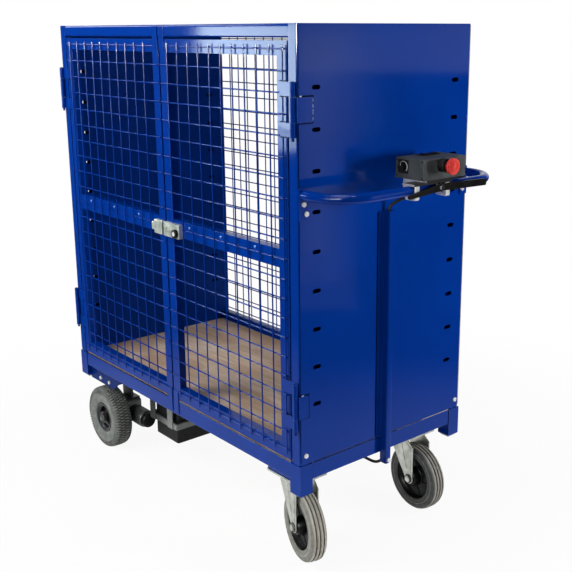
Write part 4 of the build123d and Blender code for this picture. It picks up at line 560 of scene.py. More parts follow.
# Geometry node trees, one for each way in which a shape repeats
class ShapeTree(Nodes):
    """A geometry tree with named inputs that ends in plain faces with a material."""

    def __init__(self, name, inputs):
        tree = bpy.data.node_groups.new(name, "GeometryNodeTree")
        super().__init__(tree)
        self.keys = {}
        for label, kind in {"Geometry": "Geometry", **inputs, "Material": "Material"}.items():
            item = tree.interface.new_socket(name=label, in_out="INPUT", socket_type="NodeSocket" + kind)
            self.keys[label] = item.identifier
        tree.interface.new_socket(name="Geometry", in_out="OUTPUT", socket_type="NodeSocketGeometry")
        self.entry = tree.nodes.new("NodeGroupInput")

    def given(self, label):
        return self.entry.outputs[label]

    def close(self, shape):
        real = self.add("GeometryNodeRealizeInstances", {}, {"Geometry": shape})
        coated = self.add("GeometryNodeSetMaterial", {}, {
            "Geometry": real.outputs[0], "Material": self.given("Material"),
        })
        ending = self.tree.nodes.new("NodeGroupOutput")
        self.tree.links.new(coated.outputs[0], ending.inputs["Geometry"])

    def run(self, mesh, **values):
        piece = placed("scratch", mesh)
        modifier = piece.modifiers.new("shape", "NODES")
        modifier.node_group = self.tree
        for label, value in values.items():
            modifier[self.keys[label.replace("_", " ")]] = value
        return settled(piece)


def wire_tree():
    """Round wires along the edges of a mesh, and a weld at each marked point."""
    tree = ShapeTree("welded_wires", {"Wire radius": "Float", "Weld radius": "Float"})
    weld = tree.add("GeometryNodeInputNamedAttribute", {"data_type": "FLOAT"}, {"Name": "weld"})
    split = tree.add("GeometryNodeSeparateGeometry", {"domain": "POINT"}, {
        "Geometry": tree.given("Geometry"), "Selection": weld.outputs["Attribute"],
    })
    bead = tree.add("GeometryNodeMeshIcoSphere", {}, {"Radius": tree.given("Weld radius"), "Subdivisions": 1})
    welds = tree.add("GeometryNodeInstanceOnPoints", {}, {
        "Points": split.outputs["Selection"], "Instance": bead.outputs["Mesh"], "Scale": (1.25, 0.9, 1.25),
    })
    lines = tree.add("GeometryNodeMeshToCurve", {}, {"Mesh": split.outputs["Inverted"]})
    section = tree.add("GeometryNodeCurvePrimitiveCircle", {}, {
        "Resolution": 10, "Radius": tree.given("Wire radius"),
    })
    wires = tree.add("GeometryNodeCurveToMesh", {}, {
        "Curve": lines.outputs[0], "Profile Curve": section.outputs[0], "Fill Caps": True,
    })
    joined = tree.add("GeometryNodeJoinGeometry")
    tree.tree.links.new(wires.outputs[0], joined.inputs[0])
    tree.tree.links.new(welds.outputs[0], joined.inputs[0])
    tree.close(joined.outputs[0])
    return tree


def ring_tree():
    """One shape repeated evenly round an axle."""
    tree = ShapeTree(
        "shapes_round_an_axle", {"Count": "Int", "Start": "Float", "Turn": "Rotation", "Centre": "Vector"})
    points = tree.add("GeometryNodePoints", {}, {"Count": tree.given("Count")})
    index = Value(tree, tree.add("GeometryNodeInputIndex").outputs[0])
    angle = index * (2 * pi) / Value(tree, tree.given("Count")) + Value(tree, tree.given("Start"))
    spin = tree.add("ShaderNodeCombineXYZ", {}, {"Y": angle})
    copies = tree.add("GeometryNodeInstanceOnPoints", {}, {
        "Points": points.outputs[0], "Instance": tree.given("Geometry"), "Rotation": spin.outputs[0],
    })
    moved = tree.add("GeometryNodeTransform", {}, {
        "Geometry": copies.outputs[0], "Rotation": tree.given("Turn"), "Translation": tree.given("Centre"),
    })
    tree.close(moved.outputs[0])
    return tree


def fixing_tree():
    """A fixing at each point, standing along the way that the point faces."""
    tree = ShapeTree("fixings_at_points", {"Fixing": "Object"})
    facing = tree.add("GeometryNodeInputNamedAttribute", {"data_type": "FLOAT_VECTOR"}, {"Name": "facing"})
    turn = tree.add(
        "FunctionNodeAlignRotationToVector", {"axis": "Z"}, {"Vector": facing.outputs["Attribute"]})
    shape = tree.add("GeometryNodeObjectInfo", {}, {"Object": tree.given("Fixing")})
    copies = tree.add("GeometryNodeInstanceOnPoints", {}, {
        "Points": tree.given("Geometry"), "Instance": shape.outputs["Geometry"], "Rotation": turn.outputs[0],
    })
    tree.close(copies.outputs[0])
    return tree


welded_wires = wire_tree()
round_an_axle = ring_tree()
at_points = fixing_tree()


def ringed(bm, count, finish, centre, turn=(0, 0, 0), start=0.0):
    """A shape made at the top of a wheel, repeated round its axle and put in its place."""
    return round_an_axle.run(
        as_mesh(bm), Count=count, Start=start, Turn=Euler(turn), Centre=centre, Material=finish.material)


def fixings(name, bm, places, finish, body):
    """A fixing, made standing on the floor of its own frame, at each (place, facing)."""
    stock = placed("stock", as_mesh(bm))
    mesh = bpy.data.meshes.new("points")
    mesh.from_pydata([place for place, _ in places], [], [])
    facing = mesh.attributes.new("facing", "FLOAT_VECTOR", "POINT")
    for item, (_, way) in zip(facing.data, places):
        item.vector = way
    made = at_points.run(mesh, Fixing=stock, Material=finish.material)
    bpy.data.objects.remove(stock)
    finished(name, made, body, finish)


def joined(meshes):
    bm = bmesh.new()
    for mesh in meshes:
        bm.from_mesh(mesh)
    return as_mesh(bm)


# Welded mesh: upright wires in front, level wires against the frame behind them
WIRE, WELD = 2, 2.3
MESH_PITCH = 50.8
MESH_ROWS = 21


def kept_runs(low, high, gaps):
    """What is left of a run of wire between two ends when the gaps are cut out of it."""
    runs = []
    at = low
    for start, end in sorted(gaps):
        if start > at:
            runs.append((at, min(start, high)))
        at = max(at, end)
    if at < high:
        runs.append((at, high))
    return [run for run in runs if run[1] - run[0] > WIRE]


def wire_sheet(name, uprights, levels, x_ends, z_ends, cuts, depths, body, node):
    """Crossing wires in place of a node's flat sheet, left out where the cuts (x, x, z, z) are."""
    upright_y, level_y = depths
    points, lines = [], []

    def wire(first, last):
        lines.append((len(points), len(points) + 1))
        points.extend((first, last))

    for x in uprights:
        gaps = [(z0, z1) for x0, x1, z0, z1 in cuts if x0 < x < x1]
        for low, high in kept_runs(*z_ends, gaps):
            wire(spot(x, upright_y, low), spot(x, upright_y, high))
    for z in levels:
        gaps = [(x0, x1) for x0, x1, z0, z1 in cuts if z0 < z < z1]
        for low, high in kept_runs(*x_ends, gaps):
            wire(spot(low, level_y, z), spot(high, level_y, z))
    ends = len(points)
    for x in uprights:
        for z in levels:
            if not any(x0 < x < x1 and z0 < z < z1 for x0, x1, z0, z1 in cuts):
                points.append(spot(x, (upright_y + level_y) / 2, z))
    mesh = bpy.data.meshes.new("wires")
    mesh.from_pydata(points, lines, [])
    weld = mesh.attributes.new("weld", "FLOAT", "POINT")
    for i in range(ends, len(points)):
        weld.data[i].value = 1
    made = welded_wires.run(
        mesh, Wire_radius=WIRE * MM, Weld_radius=WELD * MM, Material=wire_coat.material)
    finished(name, made, body, wire_coat, (node,), 60)


# The cage's end and front faces. Each door's first upright wire, count of uprights and latch's reach
END, FRONT = 605, 305
DOORS = ((-1, "left", 76, 10, 62), (1, "right", 50, 11, 89))
STRAP_HEIGHTS = (1167, 1263, 420, 516)
STRAP_TALL, STRAP_END = 34, 540.5
CUT_BACK = 1.5
# Where the stop tabs and the latch stand in the way of the wires
TAB_REACH, TOP_TAB, LOW_TAB = 30.5, (1361.5, 1427.5), (281.5, 358.5)
LATCH_Z = (835.5, 879.5)
DOOR_WIRES_X, DOOR_WIRES_Z = (7, 561), (347, 1381)
DOOR_DEPTHS, REAR_DEPTHS = (-311, -307), (301, 297)
TOP_LEVEL, REAR_MIDDLE = 1372, 877.5
REAR_FIRST, REAR_UPRIGHTS = 8, 12
REAR_WIRES_X, REAR_WIRES_Z = (-599, 599), (359.5, 1395.5)
CENTRE_CUT, CORNER_CUT, CORNER_CUT_Z = (-6, 6, 0, 2000), (574.5, END), (320, 385.5)
door_levels = [TOP_LEVEL - row * MESH_PITCH for row in range(MESH_ROWS)]
for side, word, first, count, latch_reach in DOORS:
    cuts = [(0, TAB_REACH, *TOP_TAB), (0, TAB_REACH, *LOW_TAB), (0, latch_reach, *LATCH_Z)]
    cuts += [(STRAP_END, END, z - CUT_BACK, z + STRAP_TALL + CUT_BACK) for z in STRAP_HEIGHTS]
    cuts = [(*sorted((side * x0, side * x1)), z0, z1) for x0, x1, z0, z1 in cuts]
    uprights = [side * (first + k * MESH_PITCH) for k in range(count)]
    ends = sorted(side * x for x in DOOR_WIRES_X)
    wire_sheet(
        word + "_door_wires", uprights, door_levels, ends, DOOR_WIRES_Z, cuts, DOOR_DEPTHS,
        word + "_door", word + "_door_mesh")

rear_levels = [REAR_MIDDLE + (row - (MESH_ROWS - 1) / 2) * MESH_PITCH for row in range(MESH_ROWS)]
rear_uprights = [side * (REAR_FIRST + k * MESH_PITCH) for side in SIDES for k in range(REAR_UPRIGHTS)]
corner_cuts = [(*sorted(side * x for x in CORNER_CUT), *CORNER_CUT_Z) for side in SIDES]
wire_sheet(
    "rear_wires", rear_uprights, rear_levels, REAR_WIRES_X, REAR_WIRES_Z, [CENTRE_CUT, *corner_cuts],
    REAR_DEPTHS, FRAME, "rear_mesh")


# Solids of the frame that get rounded edges: the finish, and the width of each rounding
bodies = frame["record"]["behaviour"]["bodies"]
body_of = {node: body for body, nodes in bodies.items() for node in nodes}
ROUNDED = (
    (blue_coat, {
        "base_rails": 3, "corner_feet": 2.5, "cage_rails": 2.5, "roof_panel": 1, "handle_end_panel": 0.7,
        "drive_end_panel": 0.7, "left_door_frame": 2.4, "right_door_frame": 2.4, "cable_channel": 0.7,
        "left_door_hinge_straps": 0.8, "right_door_hinge_straps": 0.8, "hinge_body_leaves": 0.8,
        "cross_bearers": 1.5,
    }),
    (shaded_liner_coat, {"end_liners": 0.6}), (handle_coat, {"push_handle": 1.2}),
    (shaded_blue_coat, {"drive_brackets": 1.2}), (bolt_zinc, {"bolts": 0.8}), (clamp_zinc, {"tube_clamps": 1.2}),
    (latch_zinc, {"latch_keeper": 1.4, "latch_case": 1.4, "latch_bolt": 0.8}),
    (bright_key, {"lock_cylinder": 0.4}), (bracket_paint, {"control_bracket": 0.8}),
    (box_plastic, {"control_box": 1.2, "control_box_base": 0.8}),
    (black_plastic, {
        "lock_body": 1.2, "power_switch": 0.8, "e_stop_collar": 1.2, "throttle_lever": 1.4,
        "cable_glands": 0.6, "motor_brake_covers": 1.5,
    }),
    (grey_coat, {"drive_beam": 1.5, "battery_cradle": 1}), (gearbox_cast, {"gearbox_housings": 3}),
    (motor_coat, {"drive_motors": 1.5}), (cell_plastic, {"batteries": 1.5}),
    (case_plastic, {"battery_case": 3, "battery_lid": 1.2, "drive_controller": 1.5}),
    (zinc, {
        "castor_plates": 0.9, "front_castor_fork": 1, "rear_castor_fork": 1, "front_castor_axle": 0.9,
        "rear_castor_axle": 0.9,
    }),
)
for finish, widths in ROUNDED:
    for node, width in widths.items():
        softened(node, width, finish, body_of[node])

BARE = {
    "deck_board": deck_wood, "hinge_pins": shaded_blue_coat, "e_stop_button": stop_red,
    "speed_dial": black_plastic, "control_cable": cable_sheath, "front_drive_rim": black_coat,
    "rear_drive_rim": black_coat,
}
for node, finish in BARE.items():
    for place in frame["nodes"][node].material_slots:
        place.material = finish.material


# Castors: turned tyre with grooves, centre with six flat wedges, washers and pressed bands on the fork legs.
# A profile's third number is its tint: dirt above zero, scrubbed rubber below
CASTOR_TYRE = both_halves([
    (0, 96.8, 0.95), (1.2, 96.8, 0.95), (1.6, 99.4, 0.2), (2.6, 99.95, -0.6), (8.4, 99.9, -0.6),
    (9.4, 99.3, 0.2), (9.8, 96.6, 0.95), (12.2, 96.5, 0.95), (12.6, 98.9, 0.2), (13.6, 99.2, -0.9),
    (17, 98.2, -0.8), (19.4, 96.4, -0.25), (21.4, 93.8, 0), (22.6, 90.2, 0), (22.95, 86, 0),
    (22.7, 82.8, 0), (22.2, 81.8, -0.5), (22.9, 80.8, -0.7), (22.95, 79.8, -0.6), (22.3, 78.8, 0.1),
    (22.6, 76, 0), (22.8, 72, 0.05), (22.4, 68.4, 0.1), (21.2, 66.4, 0.3), (20.1, 65.8, 0.6),
    (20.1, 76.02, 0.6),
])
CASTOR_CENTRE = both_halves(clean([
    (0, 76), (20, 76), (20, 74.8), (19.1, 74), (19.1, 71.4), (20, 70.6), (19.4, 69),
    (17, 67.6), (8, 63.6), (6, 61), (6, 29.2), (7.4, 27.2), (24, 24.2), (28.8, 21.6),
    (29.9, 20.4), (29.9, 9), (28.6, 7.2), (28, 6.1),
]))
WASHER = [(35, 14.2), (35.9, 13.8), (36.2, 12.8), (36.2, 10.2), (35, 9.8)]
LEG_BANDS = (
    [(-15, 221), (13, 221), (41, 128), (33, 124)],
    [(22, 221), (31, 219), (59, 199), (59, 122), (53, 122)],
)
LEG_OUT = 35
BAND_HEIGHT, BAND_SLOPE = 1.1, 2.6
SWIVEL_X, TRAIL, HUB_Z = 482, 50, 100
# Each castor's place across the trolley, its swivel in degrees and its rubber
CASTORS = (("front", -216, -15, near_rubber), ("rear", 216, -3.3, shaded_castor_rubber))
WEDGES, INNER_NARROWER = 6, 0.8


def wedge(inner, outer, half_angle, low, high, width, steps=5):
    """A flat wedge between two radii, standing from one offset along the axle to another."""
    bm = bmesh.new()
    layers = []
    for offset in (low, high):
        ring = []
        for radius, way in ((inner, 1), (outer, -1)):
            for k in range(steps + 1):
                angle = way * half_angle * (2 * k / steps - 1)
                if radius == inner:
                    angle *= INNER_NARROWER
                ring.append(bm.verts.new(
                    Vector((radius * sin(angle), offset, radius * cos(angle))) * MM))
        layers.append(ring)
    slab(bm, *layers)
    round_edges(bm, width, 2, 50)
    return bm


def band(points, y, height, slope):
    """A pressed band on a flat leg: raised by a height, with sloped sides, from points (along, up)."""
    bm = bmesh.new()
    face = bm.faces.new([bm.verts.new(Vector((x, y, z)) * MM) for x, z in points])
    bmesh.ops.inset_individual(bm, faces=[face], thickness=slope * MM, depth=0)
    bm.normal_update()
    way = 1 if y > 0 else -1
    for vert in face.verts:
        vert.co.y += way * height * MM
    bm.normal_update()
    if face.normal.y * way < 0:
        bmesh.ops.reverse_faces(bm, faces=bm.faces)
    return bm


def moved(bm, matrix):
    bmesh.ops.transform(bm, matrix=matrix, verts=bm.verts)
    return bm


for word, across, swivel, tyre_rubber in CASTORS:
    turn = radians(swivel)
    hub = spot(SWIVEL_X + TRAIL * cos(turn), across + TRAIL * sin(turn), HUB_Z)
    wheel_place = Matrix.Translation(hub) @ Matrix.Rotation(turn, 4, "Z")
    fork_place = Matrix.Translation(spot(SWIVEL_X, across, 0)) @ Matrix.Rotation(turn, 4, "Z")
    castor = word + "_castor"
    wheel = castor + "_wheel"
    tyre = moved(turned(CASTOR_TYRE, 128), wheel_place)
    finished(castor + "_grooved_tyre", as_mesh(tyre), wheel, tyre_rubber,
             (castor + "_tyre",), 50)
    centre = moved(turned(CASTOR_CENTRE), wheel_place)
    finished(castor + "_dished_centre", as_mesh(centre), wheel, wheel_plastic,
             (castor + "_wheel_centre",), 35)
    wedges, washers, bands = [], [], []
    for side in SIDES:
        shape = wedge(
            inner=31, outer=59.5, half_angle=radians(23), low=side * 5, high=side * 8.4, width=1.6)
        wedges.append(ringed(shape, WEDGES, wheel_plastic, hub, (0, 0, turn)))
        washers.append(as_mesh(moved(turned(clean(WASHER, side), 48), wheel_place)))
        for outline in LEG_BANDS:
            shape = band(outline, side * LEG_OUT, BAND_HEIGHT, BAND_SLOPE)
            bands.append(as_mesh(moved(shape, fork_place)))
    finished(castor + "_wedges", joined(wedges), wheel, wheel_plastic)
    finished(castor + "_axle_washers", joined(washers), castor, black_coat)
    finished(castor + "_pressed_bands", joined(bands), castor, zinc, (), 20)


# Driven wheels: smooth walled tyre with small blocks, rim ring and a hub with three arms
# The tint darkens the tread between the blocks, as dirt and as painted shade
DRIVE_TYRE = both_halves([
    (0, 103.4, 0.9), (8, 103.3, 0.9), (16, 102.6, 0.85), (22, 100.6, 0.7), (26.4, 97.2, 0.35),
    (29.4, 92, 0.08), (30.7, 85, 0), (31, 78, 0), (30.6, 70, 0), (29.5, 64.4, 0),
    (28.5, 62.2, 0.3), (28.9, 60.9, 0.1), (28, 58.6, 0), (27, 55.2, 0), (25.8, 53.2, 0.2),
    (24.6, 52.1, 0.5),
])
SHOULDER_BLOCK = [
    (30.5, 83.6), (30.96, 90), (29.9, 97.8), (26.8, 102.9), (22.6, 105.6), (17.6, 106.6), (17.6, 101.5),
    (24, 98.5), (28, 92), (29.9, 84.4),
]
MIDDLE_BLOCK = [(1.6, 107.4), (8, 107.3), (14.6, 106.9), (14.6, 102), (1.6, 102.4)]
RIM_RING = [
    (25.2, 52), (26.6, 51), (27.2, 49), (26.6, 46.6), (25, 44), (22.6, 40.6), (21, 38.2),
    (17, 37), (16, 38.6), (20, 41.4), (23.6, 46.4), (23.8, 50.2),
]
HUB_ARM = [(6, 16), (6, 43), (13, 43), (20, 30), (24, 18), (24, 16)]
BLOCKS, HUB_ARMS, FIRST_ARM = 66, 3, radians(25)
DRIVE_X, DRIVE_Y, DRIVE_Z = -474, 277, 107.5
for out, word in FRONT_REAR:
    hub = spot(DRIVE_X, out * DRIVE_Y, DRIVE_Z)
    wheel = word + "_drive_wheel"
    parts = [as_mesh(moved(turned(DRIVE_TYRE, 128), Matrix.Translation(hub)))]
    step = 2 * pi / BLOCKS
    for side in SIDES:
        shift = 0.0 if side > 0 else step / 2
        shoulder = prism(SHOULDER_BLOCK, side, thick=5.2, tint=0.7, taper=0.92)
        middle = prism(MIDDLE_BLOCK, side, thick=5.4, tint=0.8, taper=0.9)
        parts.append(ringed(shoulder, BLOCKS, drive_rubber, hub, start=shift))
        parts.append(ringed(middle, BLOCKS, drive_rubber, hub, start=shift + step / 2))
    finished(word + "_drive_block_tyre", joined(parts), wheel, drive_rubber,
             (word + "_drive_tyre",), 35)
    ring = as_mesh(moved(turned(clean(RIM_RING, out)), Matrix.Translation(hub)))
    finished(word + "_drive_rim_ring", ring, wheel, rim_grey)
    arm = prism(HUB_ARM, out, thick=15, taper=0.7, width=1.4)
    arms = ringed(arm, HUB_ARMS, black_coat, hub, start=FIRST_ARM)
    finished(word + "_drive_hub_arms", arms, wheel, black_coat)


# Gearmotors: cooling fins round the drums
MOTOR_X, MOTOR_Y, MOTOR_Z = -393, 203, 111
FINS = 26
for side, word in FRONT_REAR:
    middle = spot(MOTOR_X, side * MOTOR_Y, MOTOR_Z)
    fin = block((-1, -34, 27.6), (1, 34, 30.4), 0.6)
    fins = ringed(fin, FINS, motor_coat, middle, (0, 0, radians(90)))
    finished(word + "_motor_fins", fins, FRAME, motor_coat)


# Fixings
PIN_HOLE = 0.02


def head(shares, middle, radius, height, sides):
    """A turned head along Z, from shares of its height and radius and its height in the middle."""
    points = [(height * up, radius * out) for up, out in shares]
    points += [(height * middle, PIN_HOLE), (0, PIN_HOLE)]
    return moved(turned(clean(points), sides), Matrix.Rotation(radians(90), 4, "X"))


# A screw's head with a recess, and a rivet's
SCREW = [(0, 1), (0.45, 1), (0.8, 0.86), (1, 0.55), (0.96, 0.3), (0.4, 0.2)]
RIVET = [(0, 1), (0.5, 0.9), (0.85, 0.56)]
LEFT, RIGHT = (0, -1, 0), (0, 1, 0)
BOX_SIDES = ((-24, LEFT), (131, RIGHT))
BOX_CORNERS = [(x, z) for x in (657, 744) for z in (1058, 1099)]
LATCH_FACE, RAIL_FACE = -318, -307
box_screws = [(spot(x, y, z), way) for y, way in BOX_SIDES for x, z in BOX_CORNERS]
screw = head(SCREW, middle=0.4, radius=2.6, height=1.2, sides=18)
fixings("box_screws", screw, box_screws, black_plastic, FRAME)
LATCH_SCREWS = {
    "latch_case_screws": ("right_door", ((82, 872.5), (11.5, 843))),
    "latch_keeper_screws": ("left_door", ((-54.5, 857.5), (-38, 842.5), (-38, 872.5))),
}
for name, (door, places) in LATCH_SCREWS.items():
    screws = [(spot(x, LATCH_FACE, z), LEFT) for x, z in places]
    screw = head(SCREW, middle=0.4, radius=2.3, height=0.8, sides=18)
    fixings(name, screw, screws, zinc, door)

RIVET_Z, RIVET_CELLS = 875, (1, 4, 7)
for side, word, first, *_ in DOORS:
    across = [side * (first + (cell + 0.5) * MESH_PITCH) for cell in RIVET_CELLS]
    places = [(spot(x, RAIL_FACE, RIVET_Z), LEFT) for x in across]
    rivet = head(RIVET, middle=1, radius=3.9, height=1.5, sides=14)
    fixings(word + "_mid_rail_rivets", rivet, places, rivet_highlight_coat, word + "_door")


# Painted shade: dark lines in the gaps between the plates and along the deck's edge, and dark stiffeners
# behind the slots of the drive end; welds along the hinge leaves, painted bright as glints
def strip(x, y, z, width=0.15):
    """A thin strip between two values along each way."""
    low = [min(way) for way in (x, y, z)]
    high = [max(way) for way in (x, y, z)]
    return as_mesh(moved(block(low, high, width), Matrix.Translation(spot(0, 0, 0))))


FOOT_IN_X, FOOT_IN_Y = 565, 265
RAIL = (277.5, 321.5)
FOOT_GAP = 2.2
CORNER_SHADE_Y, CORNER_SHADE_Z = (303.6, 302), (331, 1427)
# Each hinge leaf: its lower edge, its reach along the end panel and its welds along that end
LEAF_TALL, LEAF_GAP, LEAF_SIDE_GAP = 60, 3.2, 4.4
LEAVES = ((1202, 45, ((4, 13), (17, 31), (34, 43), (47, 57))), (455, 27, ()))
# Painted shade lines on the handle end and on the front: the shadow beside the channel's flange, and the
# deck's edge painted dark where it is in shade
CHANNEL_SHADOW_LINE = ((-39.8, -36.4), (331, 958))
END_DECK_EDGE_SHADE = (
    ((-FOOT_IN_Y + 3, -20), (321.8, 324.6)), ((12, 46), (321.8, 324.6)), ((46, 150), (323.4, 324.8)))
FRONT_DECK_EDGE_SHADE = (((-FOOT_IN_X + 3, -2), (321.6, 325.4)), ((-2, FOOT_IN_X - 3), (323.6, 325.4)))
# Dark strips, painted shade in the gaps at the panels' corners, beside the feet and round the hinge leaves
shade_lines, welds = [], []
for ex in SIDES:
    face = (ex * END, ex * (END + 0.4))
    proud = (ex * END, ex * (END + 2.6))
    for ey in SIDES:
        shade_lines.append(strip(face, [ey * y for y in CORNER_SHADE_Y], CORNER_SHADE_Z))
        shade_lines.append(strip(face, (ey * FOOT_IN_Y, ey * (FOOT_IN_Y - FOOT_GAP)), RAIL))
        shade_lines.append(strip(
            (ex * FOOT_IN_X, ex * (FOOT_IN_X - FOOT_GAP)), (ey * FRONT, ey * (FRONT + 0.4)), RAIL))
    for bottom, reach, beads in LEAVES:
        end = -FRONT + reach
        top = bottom + LEAF_TALL
        for low, high in ((bottom - LEAF_GAP, bottom), (top, top + LEAF_GAP)):
            shade_lines.append(strip(face, (-FRONT + 2, end), (low, high)))
        shade_lines.append(strip(face, (end, end + LEAF_SIDE_GAP), (bottom - LEAF_GAP, top + LEAF_GAP)))
        # Welds on the end panel at each leaf, in a bright finish that paints their glints
        for low, high in beads:
            welds.append(strip(proud, (end, end + 2.4), (bottom + low, bottom + high), 1))
        welds.append(strip(proud, (-FRONT + 5, -FRONT + 13), (top, top + 3.4), 1.2))
face = (END, END + 0.4)
shade_lines += [strip(face, y, z) for y, z in (CHANNEL_SHADOW_LINE, *END_DECK_EDGE_SHADE)]
shade_lines += [strip(x, (-FRONT, -FRONT - 0.5), z) for x, z in FRONT_DECK_EDGE_SHADE]
finished("plate_seams", joined(shade_lines), FRAME, painted_shade)
finished("hinge_leaf_welds", joined(welds), FRAME, weld_glint_metal)
STRAP_GAP, STRAP_SIDE, STRAP_EDGE = 2.4, (539, 541.6), (540, 566)
# Painted shadow lines round each hinge strap on the doors
for side, word, *_ in DOORS:
    gaps = []
    face = (-FRONT, -FRONT - 0.5)
    strap_side, strap_edge = [[side * x for x in ends] for ends in (STRAP_SIDE, STRAP_EDGE)]
    for bottom in STRAP_HEIGHTS:
        top = bottom + STRAP_TALL
        gaps.append(strip(strap_side, face, (bottom - STRAP_GAP, top + STRAP_GAP)))
        for low, high in ((bottom - STRAP_GAP, bottom - 0.2), (top + 0.2, top + STRAP_GAP)):
            gaps.append(strip(strap_edge, face, (low, high)))
    finished(word + "_strap_seams", joined(gaps), word + "_door", painted_shade)
# Stiffeners behind the drive end's slots, painted near black as the shade inside the panel's hollow
STIFFENERS, STIFFENER_X, STIFFENER_Z = ((-241, -200), (222, 276)), (-602.8, -601.4), (380, 1345)
shaded_stiffeners = [strip(STIFFENER_X, across, STIFFENER_Z, 0.4) for across in STIFFENERS]
finished("slot_stiffeners", joined(shaded_stiffeners), FRAME, painted_shade)


# Scale print round the dial
DIAL_X, DIAL_Z, PLATE_Y, POINTER_Y = 680, 1082, -25, -35.6
PRINT_THICK, PRINT_START = 0.15, 0.15


def arc_print(inner, outer, start, end, steps=32):
    """A thin printed arc that widens from its start to its end, on the left face of the control box."""
    bm = bmesh.new()
    rows = []
    for k in range(steps + 1):
        share = k / steps
        angle = radians(start + (end - start) * share)
        far = inner + (outer - inner) * (PRINT_START + (1 - PRINT_START) * share)
        corners = ((inner, 0), (inner, PRINT_THICK), (far, PRINT_THICK), (far, 0))
        rows.append([
            bm.verts.new(spot(DIAL_X + radius * cos(angle), PLATE_Y - rise, DIAL_Z + radius * sin(angle)))
            for radius, rise in corners])
    for here, following in zip(rows, rows[1:]):
        skin(bm, here, following)
    for row in (rows[0], rows[-1]):
        bm.faces.new(row)
    bmesh.ops.recalc_face_normals(bm, faces=bm.faces)
    return as_mesh(bm)


scale_print = arc_print(12.4, 15.4, 225, -45)
finished("dial_scale_print", scale_print, FRAME, white_print)
pointer = block((-0.7, -0.25, 3), (0.7, 0.25, 9.2), 0.2)
pointer = moved(pointer, Matrix.Translation(spot(DIAL_X, POINTER_Y, DIAL_Z)))
finished("dial_pointer_line", as_mesh(pointer), "speed_dial", white_print)


# Camera, as the photograph was taken
PICTURE = 572
lens = bpy.data.cameras.new("photo_camera")
lens.sensor_width = 36
lens.lens = 925.86 / PICTURE * lens.sensor_width
lens.shift_x = (PICTURE / 2 - 320) / PICTURE
lens.shift_y = (260 - PICTURE / 2) / PICTURE
lens.clip_start = 0.05
lens.clip_end = 60
camera = placed("photo_camera", lens)
camera.location = spot(2291, -1690.1, 1413.7)
look = Matrix.Rotation(radians(49.233), 3, "Z") @ Matrix.Rotation(radians(76.062), 3, "X")
camera.rotation_euler = (look @ Matrix.Rotation(radians(-0.149), 3, "Z")).to_euler()
bpy.context.scene.camera = camera


# Studio: pale floor with the soft shadow, white surroundings, soft lamps
def softbox(name, place, aim, size, power, mirrored=True, lights=True, tint=(1, 1, 1)):
    lamp = bpy.data.lights.new(name, "AREA")
    lamp.shape = "RECTANGLE"
    lamp.size, lamp.size_y = size
    lamp.energy = power
    lamp.color = tint
    box = placed(name, lamp)
    box.visible_glossy = mirrored
    box.visible_diffuse = lights
    box.location = spot(*place)
    box.rotation_euler = (spot(*aim) - spot(*place)).to_track_quat("-Z", "Y").to_euler()


COOL = (0.82, 1, 1)
softbox("front_softbox", (-700, -2600, 2500), (0, -305, 850), (2, 2), 90, mirrored=False)
softbox("front_glint", (-1380, -1690, 1200), (430, -305, 1200), (0.56, 0.5), 21, lights=False, tint=COOL)
softbox("post_glint", (-1180, -1690, 905), (590, -305, 1155), (0.3, 0.1), 1.2, lights=False, tint=COOL)
softbox("edge_glint", (-1900, -300, 2500), (0, -305, 1000), (1.2, 1.2), 34, lights=False)
# Panes of growing size, one behind the other, give the panel's reflection a soft edge
PANE_POWER = 1.5
for k, (wide, tall) in enumerate(((0.10, 0.76), (0.22, 1), (0.36, 1.24))):
    softbox("side_glint_%d" % k, (1739 + 12 * k, 720, 900), (605, -230, 950), (wide, tall),
            PANE_POWER * wide * tall, lights=False)
softbox("wire_glint", (1500, -2600, 1400), (0, -305, 1400), (2.2, 0.16), 205, lights=False)
softbox("side_softbox", (2205, 1280, 1130), (605, 0, 850), (0.35, 0.45), 28, mirrored=False)
softbox("side_top_glint", (1739, 1150, 1340), (605, 0, 1390), (0.8, 0.2), 0.7, lights=False)
for k, y in enumerate((-900, -500, -100)):
    softbox("glint_strip_%d" % k, (900, y, 2700), (900, y, 0), (1.4, 0.1), 18, lights=False)
softbox("overhead_softbox", (400, -300, 3200), (200, -100, 300), (2.6, 2.6), 30, mirrored=False)


def looking_rays(nodes):
    """1 for rays from the camera, and 1 for rays that are mirrored or passed on."""
    path = nodes.add("ShaderNodeLightPath").outputs
    passed = Value(nodes, path["Is Glossy Ray"]) + Value(nodes, path["Is Transmission Ray"])
    camera_ray = Value(nodes, path["Is Camera Ray"])
    return camera_ray, passed.rise(0, 1) * (1 - camera_ray)


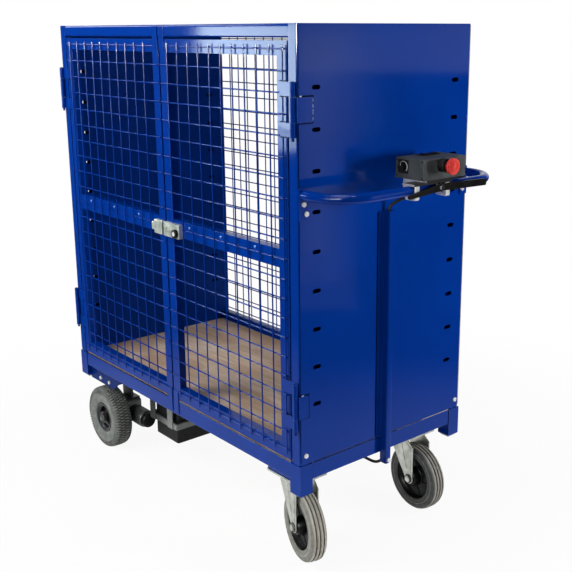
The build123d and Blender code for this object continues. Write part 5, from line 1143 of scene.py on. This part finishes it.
surroundings = bpy.data.worlds.new("white_studio")
surroundings.use_nodes = True
bpy.context.scene.world = surroundings
studio = Nodes(surroundings.node_tree)
studio.tree.nodes.clear()
# The white stands behind the trolley as the camera sees it; the room behind the camera is dim
AMBIENT, DIM = 0.12, 0.05
CAMERA_WAY = (-0.805, 0.593, 0)
way = studio.add("ShaderNodeTexCoord").outputs["Generated"]
behind = studio.add("ShaderNodeVectorMath", {"operation": "DOT_PRODUCT"}, {
    "Vector": way, "Vector_001": CAMERA_WAY,
}).outputs["Value"]
seen, passed = looking_rays(studio)
white = DIM + (1 - DIM) * Value(studio, behind).rise(0.55, 0.8)
strength = AMBIENT * (1 - seen - passed) + seen + passed * white
backdrop = studio.add("ShaderNodeBackground", {}, {"Color": (1, 1, 1, 1), "Strength": strength})
studio.add("ShaderNodeOutputWorld", {}, {"Surface": backdrop.outputs[0]})

pale = bpy.data.materials.new("pale_floor")
pale.use_nodes = True
ground = Nodes(pale.node_tree)
ground.tree.nodes.clear()
matt = ground.add("ShaderNodeBsdfDiffuse", {}, {"Color": (0.9, 0.9, 0.9, 1)})
place = ground.add("ShaderNodeTexCoord").outputs["Object"]
distance = ground.add("ShaderNodeVectorMath", {"operation": "LENGTH"}, {"Vector": place}).outputs["Value"]
away = Value(ground, distance)
seen, passed = looking_rays(ground)
lift = seen * (0.93 + 0.07 * away.rise(0.7, 2)) + passed
white = seen + passed * (1 - (1 - DIM) * away.rise(1.05, 2))
glow = ground.add("ShaderNodeEmission", {}, {"Color": white})
surface = ground.add("ShaderNodeMixShader", {}, {
    "Fac": lift, "Shader": matt.outputs[0], "Shader_001": glow.outputs[0],
})
ground.add("ShaderNodeOutputMaterial", {}, {"Surface": surface.outputs[0]})
sheet = bpy.data.meshes.new("floor")
FLOOR_HALF = 30
corners = [(x * FLOOR_HALF, y * FLOOR_HALF, 0) for x, y in ((-1, -1), (1, -1), (1, 1), (-1, 1))]
sheet.from_pydata(corners, [], [(0, 1, 2, 3)])
sheet.materials.append(pale)
floor = placed("studio_floor", sheet)

bpy.context.scene.view_settings.view_transform = "Standard"
